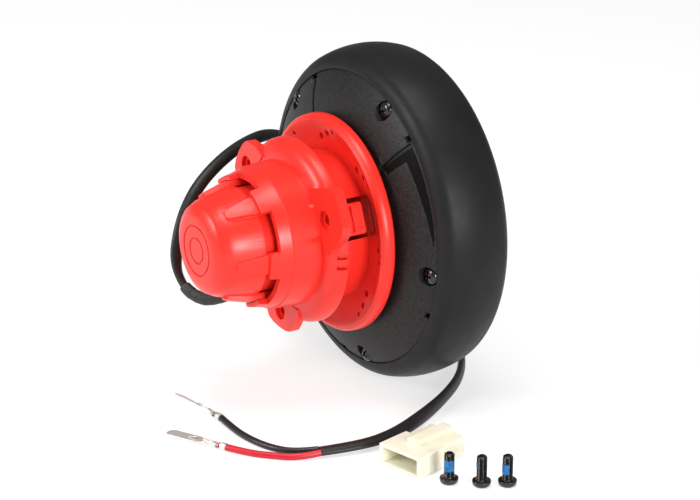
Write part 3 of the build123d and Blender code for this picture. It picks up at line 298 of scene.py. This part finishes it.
def cleaned_copy(node):
    """A bmesh of a CAD node with its flat areas merged and its seams welded."""
    bm = bmesh.new()
    bm.from_mesh(NODES[node].data)
    bmesh.ops.remove_doubles(bm, verts=bm.verts, dist=1e-6)
    bmesh.ops.dissolve_limit(bm, angle_limit=radians(0.6), verts=bm.verts, edges=bm.edges)
    return bm


def moulded(node, width, segments=3, body="root", angle=28.0):
    """A CAD node's shape with every edge rounded, as a moulding has them."""
    piece = make_object(node + "_moulding", cleaned_copy(node), sharp=angle)
    rounding = piece.modifiers.new("rounding", "BEVEL")
    rounding.width = width
    rounding.segments = segments
    rounding.limit_method = "ANGLE"
    rounding.angle_limit = radians(angle)
    rounding.use_clamp_overlap = True
    rounding.harden_normals = True
    rounding.miter_outer = "MITER_ARC"
    return finished(piece, body, NODE_SLOT[node], node)


def cut(obj, cutter):
    """Subtract one mesh object from another and remove the cutter."""
    modifier = obj.modifiers.new("cut", "BOOLEAN")
    modifier.operation = "DIFFERENCE"
    modifier.solver = "EXACT"
    modifier.object = cutter
    evaluated = obj.evaluated_get(bpy.context.evaluated_depsgraph_get())
    mesh = bpy.data.meshes.new_from_object(evaluated)
    obj.modifiers.remove(modifier)
    obj.data = mesh
    bpy.data.objects.remove(cutter)


# ---------------------------------------------------------------- lead

CORD_DIAMETER = 5.2 * MM
CORD_WIDE, CORD_THIN = 6.5 * MM, 3.9 * MM
WIRE_DIAMETER = 3.3 * MM
CORD_Z = FLOOR_Z + CORD_DIAMETER / 2 + 0.05 * MM
EDGE_Z = FLOOR_Z + CORD_WIDE / 2 + 0.1 * MM  # where the flat lead stands on its edge
WIRE_Z = FLOOR_Z + WIRE_DIAMETER / 2 + 0.05 * MM
CRIMP_Z = FLOOR_Z + 2.1 * MM
OUTLET = Vector((-24.0, 3.0, -33.4)) * MM
OUTLET_DIR = Vector((-0.42, -0.84, -0.35)).normalized()
BOOT_TIP = OUTLET + OUTLET_DIR * 19 * MM
SLEEVE_WIDE, SLEEVE_THIN, SLEEVE_LENGTH = 7.6 * MM, 6.2 * MM, 27 * MM


def metres(points, last_z):
    """Route points given in millimetres; a point with no height lies at last_z."""
    return [Vector((p[0] * MM, p[1] * MM, p[2] * MM if len(p) == 3 else last_z)) for p in points]


CORD_ROUTE = [BOOT_TIP, BOOT_TIP + OUTLET_DIR * 10.5 * MM] + metres([
    (-44.1, -27, -42.5), (-51.1, -29.7, -38), (-57, -30.2, -29.5), (-61, -26.5, -18.3), (-65.2, -20, -6.5),
    (-70, -9.5, 4), (-76, 6, 12), (-84, 25, 16.5), (-92, 46, 16.5), (-98, 67, 5), (-94, 85, -14), (-78, 98, -37),
    (-54, 104, -59), (-28, 105, -76), (-3, 101), (19, 90.5), (39, 75), (54.5, 55.5), (67.5, 34), (77, 13),
    (79, -8)], EDGE_Z) + metres([(73, -26.5)], CORD_Z)
RED_ROUTE = (metres([(74.4, -26.9)], CORD_Z) + metres([(72, -37), (64, -46), (55.5, -54)], WIRE_Z)
             + metres([(46, -59.7)], CRIMP_Z))
BLACK_ROUTE = (metres([(71.0, -25.9)], CORD_Z) + metres([(66, -35.5), (56, -42.5), (43.5, -46), (30, -47)], WIRE_Z)
               + metres([(16.5, -46.2)], CRIMP_Z))
RED_TIP = Vector((16 * MM, -75 * MM, 0))
BLACK_TIP = Vector((-20.5 * MM, -50.5 * MM, 0))


def route_curve(name, points, resolution=10):
    """A smooth curve with a route's points as its control points."""
    data = bpy.data.curves.new(name, "CURVE")
    data.dimensions = "3D"
    data.resolution_u = resolution
    spline = data.splines.new("NURBS")
    spline.points.add(len(points) - 1)
    for point, place in zip(spline.points, points):
        point.co = (*place, 1)
    spline.order_u = 3
    spline.use_endpoint_u = True
    obj = bpy.data.objects.new(name, data)
    bpy.context.scene.collection.objects.link(obj)
    return obj


def line_of(points):
    """Points along the smooth curve of a route."""
    curve = route_curve("route", points)
    mesh = bpy.data.meshes.new_from_object(curve)
    line = [vertex.co.copy() for vertex in mesh.vertices]
    bpy.data.meshes.remove(mesh)
    bpy.data.objects.remove(curve)
    return line


def length_of(line):
    """The length of a line of points."""
    return sum((b - a).length for a, b in zip(line, line[1:]))


def eased(keys, share):
    """A value between (share, value) keys, with soft ends."""
    for (s0, v0), (s1, v1) in zip(keys, keys[1:]):
        if share <= s1:
            t = (share - s0) / (s1 - s0)
            return v0 + (v1 - v0) * t * t * (3 - 2 * t)
    return keys[-1][1]


def oval_tube(bm, line, wide, thin, twist, sides=28, pinch=None):
    """A tube of oval section along a line, turned about it by twist(share) degrees."""
    total, so_far, rings = length_of(line), 0.0, []
    for i, point in enumerate(line):
        ahead, behind = line[min(i + 1, len(line) - 1)], line[max(i - 1, 0)]
        tangent = (ahead - behind).normalized()
        if i:
            so_far += (point - line[i - 1]).length
        side = tangent.cross(UP).normalized()
        over = side.cross(tangent)
        share = so_far / total
        turn = radians(twist(share))
        size = pinch(share) if pinch else 1.0
        across, above = side * cos(turn) + over * sin(turn), over * cos(turn) - side * sin(turn)
        rings.append([point + across * (wide / 2 * size * cos(2 * pi * k / sides))
                      + above * (thin / 2 * size * sin(2 * pi * k / sides)) for k in range(sides)])
    skin_rings(bm, rings)


# How the flat lead turns about its own line: (share of its length, degrees from lying flat)
TWIST = [(0, -25), (0.08, -38), (0.38, -48), (0.6, -88), (0.8, -95), (0.97, -176), (1.0, -180)]


def make_power_cord():
    """The flat twin flex, its heat-shrink sleeve and the boot it comes out of."""
    line = line_of(CORD_ROUTE)
    bm = bmesh.new()
    oval_tube(bm, line, CORD_WIDE, CORD_THIN, lambda share: eased(TWIST, share))
    flex = finished(make_object("power_cord_flex", bm), "root", "cord_rubber", "power_cord")
    sleeve_line = [point for i, point in enumerate(line) if length_of(line[:i + 1]) < SLEEVE_LENGTH]
    bm = bmesh.new()
    oval_tube(bm, sleeve_line, SLEEVE_WIDE, SLEEVE_THIN, lambda share: eased(TWIST, share * 0.06),
              pinch=lambda share: 1 - 0.10 * exp(-((1 - share) / 0.05) ** 2) + 0.02 * sin(share * 40))
    sleeve = finished(make_object("heat_shrink_sleeve", bm, sharp=50), "root", "cord_rubber",
                      material=SLEEVE_RUBBER)
    boot = make_boot()


def make_boot():
    """The tapered strain relief, with ring grooves, from (radius, distance from the outlet) points in mm."""
    profile = [(0.2, -3), (3.9, -3), (3.9, 7), (5.3, 7), (5.6, 7.3), (5.6, 8.7), (5.3, 9.0), (4.8, 9.4)]
    for groove in range(3):
        start = 10.6 + 2.4 * groove
        radius = 4.8 - (start - 9.4) * 0.125
        profile += [(radius, start), (radius - 0.7, start + 0.25), (radius - 0.75, start + 1.0),
                    (radius - 0.15, start + 1.25)]
    profile += [(3.9, 17.6), (3.75, 18.7), (3.5, 19.0), (0.2, 19.0)]
    along = OUTLET_DIR
    across = UP.cross(along).normalized()
    place = Matrix((across, along, across.cross(along))).transposed().to_4x4()
    place.translation = OUTLET
    bm = bmesh.new()
    lathe(bm, [(r * MM, y * MM) for r, y in profile], steps=64, place=place)
    return finished(make_object("strain_relief_boot", bm), "root", "cord_rubber", "cord_strain_relief")


def make_wire(name, points, node, slot_name, pieces):
    """One insulated core, from the jacket's end to its terminal."""
    wire = route_curve(name, points, resolution=14)
    wire.data.bevel_depth = WIRE_DIAMETER / 2
    wire.data.bevel_resolution = 8
    wire.data.use_fill_caps = True
    dress(wire, slot_name)
    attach(wire, "root")
    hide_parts(node)
    length_of(line_of(points))


def box_between(bm, low, high):
    """A box from its two corners."""
    centre = [(a + b) / 2 for a, b in zip(low, high)]
    size = [b - a for a, b in zip(low, high)]
    made = bmesh.ops.create_cube(bm, size=1.0)["verts"]
    bmesh.ops.scale(bm, vec=size, verts=made)
    bmesh.ops.translate(bm, vec=centre, verts=made)


def lofted(bm, sections, place):
    """A closed skin through (x, outline of (y, z) points) sections, in a terminal's own frame."""
    skin_rings(bm, [[place @ Vector((x, y, z)) for y, z in outline] for x, outline in sections])


def crimp_outline(size, notch):
    """A crimped barrel's section: round below, with the two wings rolled in at the top."""
    points = []
    for step in range(40):
        angle = 2 * pi * step / 40
        off_top = (angle - pi / 2 + pi) % (2 * pi) - pi
        radius = size * (1 - notch * exp(-(off_top / 0.30) ** 2) + 0.06 * exp(-((abs(off_top) - 0.75) / 0.35) ** 2))
        points.append((radius * cos(angle) * 1.12, radius * sin(angle) * 0.92))
    return points


def wing_band(bm, x0, x1, inner, outer, gap, place):
    """An open band round the wire, its gap at the top, as the insulation crimp is."""
    half = radians(180 - gap / 2)
    steps = 26
    outline = [(outer * sin(-half + 2 * half * i / steps), -outer * cos(-half + 2 * half * i / steps))
               for i in range(steps + 1)]
    outline += [(inner * sin(half - 2 * half * i / steps), -inner * cos(half - 2 * half * i / steps))
                for i in range(steps + 1)]
    lofted(bm, [(x, outline) for x in (x0, x1)], place)


def rounded_plate(half_width, thick, edge):
    """A flat section with eased long edges."""
    w, t = half_width, thick / 2
    return [(-w, -t + edge), (-w + edge, -t), (w - edge, -t), (w, -t + edge), (w, t - edge), (w - edge, t),
            (-w + edge, t), (-w, t - edge)]


STRANDS, STRAND_R, STRAND_RING, STRAND_SIDES = 7, 0.28, 0.55, 8  # one strand in the middle, the rest round it


def make_terminal(colour, wire_end, tip, roll, node, wire_slot):
    """A crimped tab terminal: insulation wings, wire barrel, bare strands, locking tongue and flat blade.

    Its own frame is in millimetres: X from the wire's end to the blade's tip, Z up before the roll."""
    reach = tip - Vector((wire_end.x, wire_end.y, 0))
    length = reach.length
    turn = Matrix.Rotation(atan2(reach.y, reach.x), 4, "Z")
    place = Matrix.Translation(wire_end) @ turn @ Matrix.Rotation(radians(roll), 4, "X") @ Matrix.Scale(MM, 4)
    end = length / MM
    bm = bmesh.new()
    wing_band(bm, 0.6, 3.6, 1.60, 1.98, 34, place)
    lofted(bm, [(x, crimp_outline(size, notch)) for x, size, notch in
                ((6.0, 1.62, 0.10), (6.5, 1.45, 0.34), (8.5, 1.40, 0.40), (10.4, 1.45, 0.34), (11.0, 1.62, 0.10))],
           place)
    strip = [(x, [(y, z + lift) for y, z in rounded_plate(half, 0.5, 0.12)]) for x, half, lift in
             ((0.6, 1.0, -1.35), (3.6, 0.95, -1.35), (6.0, 0.9, -1.2), (11.0, 1.0, -1.2), (12.6, 1.35, -0.9),
              (14.2, 1.9, -0.3), (15.4, 2.6, 0.0))]
    lofted(bm, strip, place)
    for sign in (-1, 1):
        wall = [(x, [(sign * half, low), (sign * (half - 0.4), low), (sign * (half - 0.4), high),
                     (sign * half, high)])
                for x, half, low, high in ((10.9, 1.3, -1.2, 0.5), (12.6, 1.5, -1.0, 0.9), (14.4, 2.0, -0.45, 0.55),
                                           (15.8, 2.6, -0.2, 0.25))]
        lofted(bm, wall, place)
    blade = [(15.0, 2.5, 0.8), (16.2, 3.15, 0.8), (end - 3.0, 3.15, 0.8), (end - 1.6, 2.7, 0.7), (end, 1.3, 0.25)]
    lofted(bm, [(x, rounded_plate(half, thick, min(0.2, thick * 0.3))) for x, half, thick in blade], place)
    tongue = [(x, [(y, z + lift) for y, z in rounded_plate(0.75, 0.3, 0.08)])
              for x, lift in ((21.6, 0.5), (19.5, 0.95), (17.4, 1.5), (17.0, 1.5))]
    lofted(bm, tongue, place)
    terminal = finished(make_object(colour + "_tab_terminal", bm, sharp=35), "root", "tin", node)
    bm = bmesh.new()
    for strand in range(STRANDS):
        ring = 0.0 if strand == 0 else STRAND_RING
        rings = []
        for step in range(10):
            x = 3.4 + 8.9 * step / 9
            angle = 2 * pi * strand / (STRANDS - 1) + 0.14 * x
            centre_y, centre_z = ring * cos(angle), ring * sin(angle) * 0.8 - 0.1
            turns = [2 * pi * k / STRAND_SIDES for k in range(STRAND_SIDES)]
            rings.append([place @ Vector((x, centre_y + STRAND_R * cos(turn), centre_z + STRAND_R * sin(turn)))
                          for turn in turns])
        skin_rings(bm, rings)
    strands = finished(make_object(colour + "_wire_strands", bm), "root", "tin")
    bm = bmesh.new()
    radii = [(-0.4, 1.60), (1.2, 1.55), (3.2, 1.5), (4.7, 1.52), (4.9, 1.3)]
    skin_rings(bm, [[place @ Vector((x, r * cos(2 * pi * k / 28), r * sin(2 * pi * k / 28))) for k in range(28)]
                    for x, r in radii])
    stub = finished(make_object(colour + "_wire_end", bm), "root", wire_slot)
    return [terminal, strands, stub]


make_power_cord()
make_wire("red_core", RED_ROUTE, "red_wire", "wire_red",
          make_terminal("red", RED_ROUTE[-1], RED_TIP, 0, "red_terminal", "wire_red"))
make_wire("black_core", BLACK_ROUTE, "black_wire", "wire_black",
          make_terminal("black", BLACK_ROUTE[-1], BLACK_TIP, 30, "black_terminal", "wire_black"))


# ---------------------------------------------------------------- tyre and mouldings

CROWN_DROP, CROWN_HALF = 2.1 * MM, 13 * MM
SIDE_R = 72.7 * MM
BEAD_SEAT_R, BEAD_HALF = 66.2 * MM, 10.3 * MM
LIP_R, LIP_HALF = 72.1 * MM, 15.7 * MM


def make_tyre():
    """A slick tyre: crown and shoulders in tangent arcs, and a foot that hooks into the rim."""
    top, half = TYRE_HIGH.z, (TYRE_HIGH.y - TYRE_LOW.y) / 2
    crown_r = top - CROWN_DROP
    crown_arc_r = (CROWN_HALF ** 2 + CROWN_DROP ** 2) / (2 * CROWN_DROP)
    crown = [(top, 0.0)] + arc((top, 0), (0, 1), (crown_r, CROWN_HALF), 14)
    shoulder = arc((crown_r, CROWN_HALF), (-CROWN_HALF, crown_arc_r - CROWN_DROP), (SIDE_R, half), 18)
    foot = [(SIDE_R - 0.1 * MM, half - 0.4 * MM), (SIDE_R - 0.1 * MM, LIP_HALF), (LIP_R, LIP_HALF),
            (LIP_R, BEAD_HALF), (BEAD_SEAT_R, BEAD_HALF)]
    outline = crown + shoulder + foot
    outline = [(r, WHEEL_Y - y) for r, y in reversed(outline[1:])] + [(r, WHEEL_Y + y) for r, y in outline]
    bm = bmesh.new()
    lathe(bm, outline, steps=240)
    finished(make_object("tyre_slick", bm, sharp=50), "wheel", "tyre_rubber", "tyre")


make_tyre()
EDGE_ROUNDING = (("front_cover", 0.35, "wheel"), ("rear_cover", 0.5, "wheel"), ("hub_cap", 0.4, "wheel"),
                 ("mounting_flange", 0.45, "root"), ("motor_housing", 0.5, "root"), ("nose_cap", 0.45, "root"),
                 ("connector_housing", 0.8, "connector"))  # node, width in millimetres, body
for moulding, edge, body in EDGE_ROUNDING:
    moulded(moulding, edge * MM, body=body)

DOME_EDGE, DOME_MID, DOME_FOOT = (71.4, 37.6), (63.0, 33.5), (52.0, 30.6)  # (radius, Y) on the front cover
CHANNEL_ANGLE, CHANNEL_TURN = 44.0, 38.0
CHANNEL_FOOT_R, CHANNEL_HIGH_R, CHANNEL_LOW_R = 53.5, 66.3, 70.6  # its inner edge: at the flange, elbow and tail
LEG_BEFORE, LEG_AFTER = 3.4, 0.4  # the straight leg's sides, in degrees from the channel's angle


def dome_y(radius):
    """The front cover's face at a radius, both in millimetres: the parabola through its three points."""
    (ra, ya), (rb, yb), (rc, yc) = DOME_EDGE, DOME_MID, DOME_FOOT
    return (ya * (radius - rb) * (radius - rc) / ((ra - rb) * (ra - rc))
            + yb * (radius - ra) * (radius - rc) / ((rb - ra) * (rb - rc))
            + yc * (radius - ra) * (radius - rb) / ((rc - ra) * (rc - rb)))


def dome_strip(bm, span, inner_r, outer_r, steps=48, across=8, stand=0.10):
    """A thin strip on the cover's face: inner_r(share) to outer_r over an angle span, in mm and degrees."""
    sections = []
    for step in range(steps + 1):
        share = step / steps
        angle = radians(span[0] + (span[1] - span[0]) * share)
        low = inner_r(share)
        radii = [low + (outer_r - low) * k / across for k in range(across + 1)]
        face = [(r, dome_y(r) - (stand if 0 < k < across else 0.0)) for k, r in enumerate(radii)]
        back = [(r, dome_y(r) + 0.4) for r in reversed(radii)]
        sections.append([Vector((r * cos(angle), y, r * sin(angle))) * MM for r, y in face + back])
    skin_rings(bm, sections)


def make_channel_painted_shade():
    """The smooth near-black strip laid on the cover's face where the channel comes out from under the flange and
    turns along the cover's edge; its black is painted shade of that channel.
    """
    bm = bmesh.new()
    dome_strip(bm, (CHANNEL_ANGLE - LEG_BEFORE, CHANNEL_ANGLE + LEG_AFTER), lambda share: CHANNEL_FOOT_R,
               CHANNEL_HIGH_R + 0.3)
    dome_strip(bm, (CHANNEL_ANGLE + LEG_AFTER, CHANNEL_ANGLE - CHANNEL_TURN),
               lambda share: CHANNEL_HIGH_R + (CHANNEL_LOW_R - CHANNEL_HIGH_R) * share ** 1.6, DOME_EDGE[0] - 0.3)
    finished(make_object("cover_channel_painted_shade", bm, sharp=40), "wheel", "cover_plastic", material=CHANNEL_PAINTED_SHADE)


make_channel_painted_shade()


# ---------------------------------------------------------------- screws

RECESS_HALF, RECESS_ARM, RECESS_FLOOR = 0.5 * MM, 2.5 * MM, 1.9 * MM


def phillips_head():
    """A pan-head screw on the local Y axis: seat at 0, head towards +Y, with a cross recess."""
    outline = [(0.01, -7.2), (1.65, -7.2), (1.65, 0), (4.3, 0), (4.3, 1.2), (4.15, 1.8), (3.7, 2.5), (3.0, 3.05),
               (2.1, 3.4), (1.0, 3.58), (0.01, 3.6)]
    bm = bmesh.new()
    lathe(bm, [(r * MM, y * MM) for r, y in outline], steps=48)
    bmesh.ops.remove_doubles(bm, verts=bm.verts, dist=0.03 * MM)
    head = make_object("screw_head", bm)
    for half_x, half_z in ((RECESS_HALF, RECESS_ARM), (RECESS_ARM, RECESS_HALF)):
        bm = bmesh.new()
        box_between(bm, (-half_x, RECESS_FLOOR, -half_z), (half_x, 5 * MM, half_z))
        cut(head, make_object("recess", bm))
    return head


COVER_SCREWS, COVER_SCREW_R, COVER_SCREW_START = 5, 68.2 * MM, 65.0
SCREW_SEAT = 17.7 * MM  # from the wheel's mid plane to the screws' seats


def make_cover_screws(name, node, seat_y, outward, head):
    """The five screws of one wheel cover, in their pockets, each turned its own way."""
    bm = bmesh.new()
    for step in range(COVER_SCREWS):
        angle = radians(COVER_SCREW_START + 360 / COVER_SCREWS * step)
        place = Matrix.Translation((COVER_SCREW_R * cos(angle), seat_y, COVER_SCREW_R * sin(angle)))
        flip = Matrix.Rotation(pi if outward < 0 else 0, 4, "X")
        mesh = head.data.copy()
        mesh.transform(place @ flip @ Matrix.Rotation(radians(23 + 41 * step), 4, "Y"))
        bm.from_mesh(mesh)
        bpy.data.meshes.remove(mesh)
    finished(make_object(name, bm), "wheel", "screw_black", node)


phillips = phillips_head()
make_cover_screws("front_cover_pan_screws", "front_cover_screws", WHEEL_Y - SCREW_SEAT, -1, phillips)
make_cover_screws("rear_cover_pan_screws", "rear_cover_screws", WHEEL_Y + SCREW_SEAT, 1, phillips)
bpy.data.objects.remove(phillips)

HEAD_R, HEAD_H, THREAD_R, SCREW_LENGTH, PITCH, THREAD_DEPTH = 4.3, 3.0, 2.45, 15.0, 0.8, 0.42
THREAD_START = HEAD_H + 0.2
SCREW_SIDES, RINGS_PER_PITCH = 36, 8
PATCH_INNER, PATCH_OUTER = THREAD_R - 0.2, THREAD_R + 0.07


def thread_radius(height, angle):
    """The radius of the screw's surface above its head, at a height and an angle."""
    wave = abs((height / PITCH - angle / (2 * pi)) % 1 - 0.5) * 2
    start = min((height - HEAD_H) / 0.8, 1.0)
    end = min((SCREW_LENGTH - height) / 1.0, 1.0)
    return THREAD_R - THREAD_DEPTH * wave * start - 0.75 * (1 - end) ** 2


def make_thread_lock(number, foot, middle_angle, half_angle, heights):
    """The patch of thread lock on one side of a kit screw, thinning out at its edges."""
    bm = bmesh.new()
    sections = []
    arc_steps, rise_steps = 22, 12
    middle, half = sum(heights) / 2, (heights[1] - heights[0]) / 2
    for step in range(arc_steps + 1):
        side = 2 * step / arc_steps - 1
        angle = radians(middle_angle + half_angle * side)
        swell = (1 - side ** 6) ** 0.5
        section = []
        for rise in range(rise_steps + 1):
            part = 2 * rise / rise_steps - 1
            skin = (PATCH_INNER + (PATCH_OUTER - PATCH_INNER) * swell * (1 - part ** 6)
                    + 0.02 * sin(9 * part + 4 * side))
            section.append((skin, middle + half * (0.86 + 0.14 * swell) * part))
        section += [(PATCH_INNER - 0.1, middle + half * 0.9), (PATCH_INNER - 0.1, middle - half * 0.9)]
        sections.append([foot + Vector((r * cos(angle), r * sin(angle), z)) * MM for r, z in section])
    skin_rings(bm, sections)
    finished(make_object(f"thread_lock_patch_{number}", bm, sharp=60), f"screw_{number}", "screw_black",
             material=THREAD_LOCK)


def make_kit_screw(number, patch_middle, patch_half, patch_heights):
    """A button-head screw that stands on its head, with a rolled thread and a thread-lock patch."""
    node = f"mounting_screw_{number}"
    low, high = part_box(node)
    foot = Vector(((low.x + high.x) / 2, (low.y + high.y) / 2, low.z))
    turns = [2 * pi * k / SCREW_SIDES for k in range(SCREW_SIDES)]
    outline = [(0.01, 1.6), (1.4, 1.6), (1.4, 0.05), (1.5, 0.0), (2.6, 0.0), (3.3, 0.22), (3.85, 0.7), (4.15, 1.3),
               (HEAD_R, 2.0), (HEAD_R, 2.75), (4.2, 2.95), (4.05, HEAD_H), (2.75, HEAD_H), (2.5, HEAD_H + 0.12)]
    rings = [[foot + Vector((r * cos(a), r * sin(a), z)) * MM for a in turns] for r, z in outline]
    steps = round((SCREW_LENGTH - THREAD_START) / PITCH * RINGS_PER_PITCH)
    for step in range(1, steps + 1):
        height = THREAD_START + (SCREW_LENGTH - THREAD_START) * step / steps
        radii = [thread_radius(height, a) for a in turns]
        rings.append([foot + Vector((r * cos(a), r * sin(a), height)) * MM for r, a in zip(radii, turns)])
    bm = bmesh.new()
    skin_rings(bm, rings)
    finished(make_object(f"kit_screw_{number}", bm, sharp=60), f"screw_{number}", "screw_black", node)
    make_thread_lock(number, foot, patch_middle, patch_half, patch_heights)


make_kit_screw(1, -32, 82, (6.2, 11.8))
make_kit_screw(2, -124, 34, (8.8, 11.8))
make_kit_screw(3, -78, 62, (5.9, 11.0))


# ---------------------------------------------------------------- stage

def make_area(name, place, aim, size, power):
    """A square soft light."""
    data = bpy.data.lights.new(name, "AREA")
    data.size = size
    data.energy = power
    light = bpy.data.objects.new(name, data)
    light.location = place
    light.rotation_mode = "QUATERNION"
    light.rotation_quaternion = (Vector(aim) - Vector(place)).to_track_quat("-Z", "Y")
    bpy.context.scene.collection.objects.link(light)


FLOOR_SIZE, FLOOR_GREY, FLOOR_GLOW, SURROUND = 8.0, 0.40, 0.66, 0.22
LIGHTS = (("key_light", (-0.35, -1.3, 0.75), (0, 0, 0), 0.6, 15.5),
          ("top_light", (0.1, -0.1, 1.5), (0, 0, 0), 0.7, 13.5),
          ("side_light", (1.5, -0.05, 0.38), (0, 0.05, 0), 0.5, 17))  # name, place, aim, size, power


def make_stage():
    """A plain pale floor, a white surround and soft studio light."""
    bpy.ops.mesh.primitive_plane_add(size=FLOOR_SIZE, location=(0, 0, FLOOR_Z))
    floor = bpy.context.object
    floor.name = "studio_floor"
    paint = bpy.data.materials.new("floor_white")
    paint.use_nodes = True
    shader = paint.node_tree.nodes["Principled BSDF"]
    shader.inputs["Base Color"].default_value = (FLOOR_GREY, FLOOR_GREY, FLOOR_GREY, 1)
    shader.inputs["Roughness"].default_value = 0.9
    shader.inputs["Specular IOR Level"].default_value = 0.0
    shader.inputs["Emission Color"].default_value = (1, 1, 1, 1)
    shader.inputs["Emission Strength"].default_value = FLOOR_GLOW
    floor.data.materials.append(paint)
    world = bpy.data.worlds.new("studio")
    world.use_nodes = True
    world.node_tree.nodes["Background"].inputs["Color"].default_value = (1, 1, 1, 1)
    world.node_tree.nodes["Background"].inputs["Strength"].default_value = SURROUND
    bpy.context.scene.world = world
    bpy.context.scene.view_settings.view_transform = "Standard"
    for light in LIGHTS:
        make_area(*light)


make_stage()
for node_name, node_object in NODES.items():
    dress(node_object, NODE_SLOT[node_name])
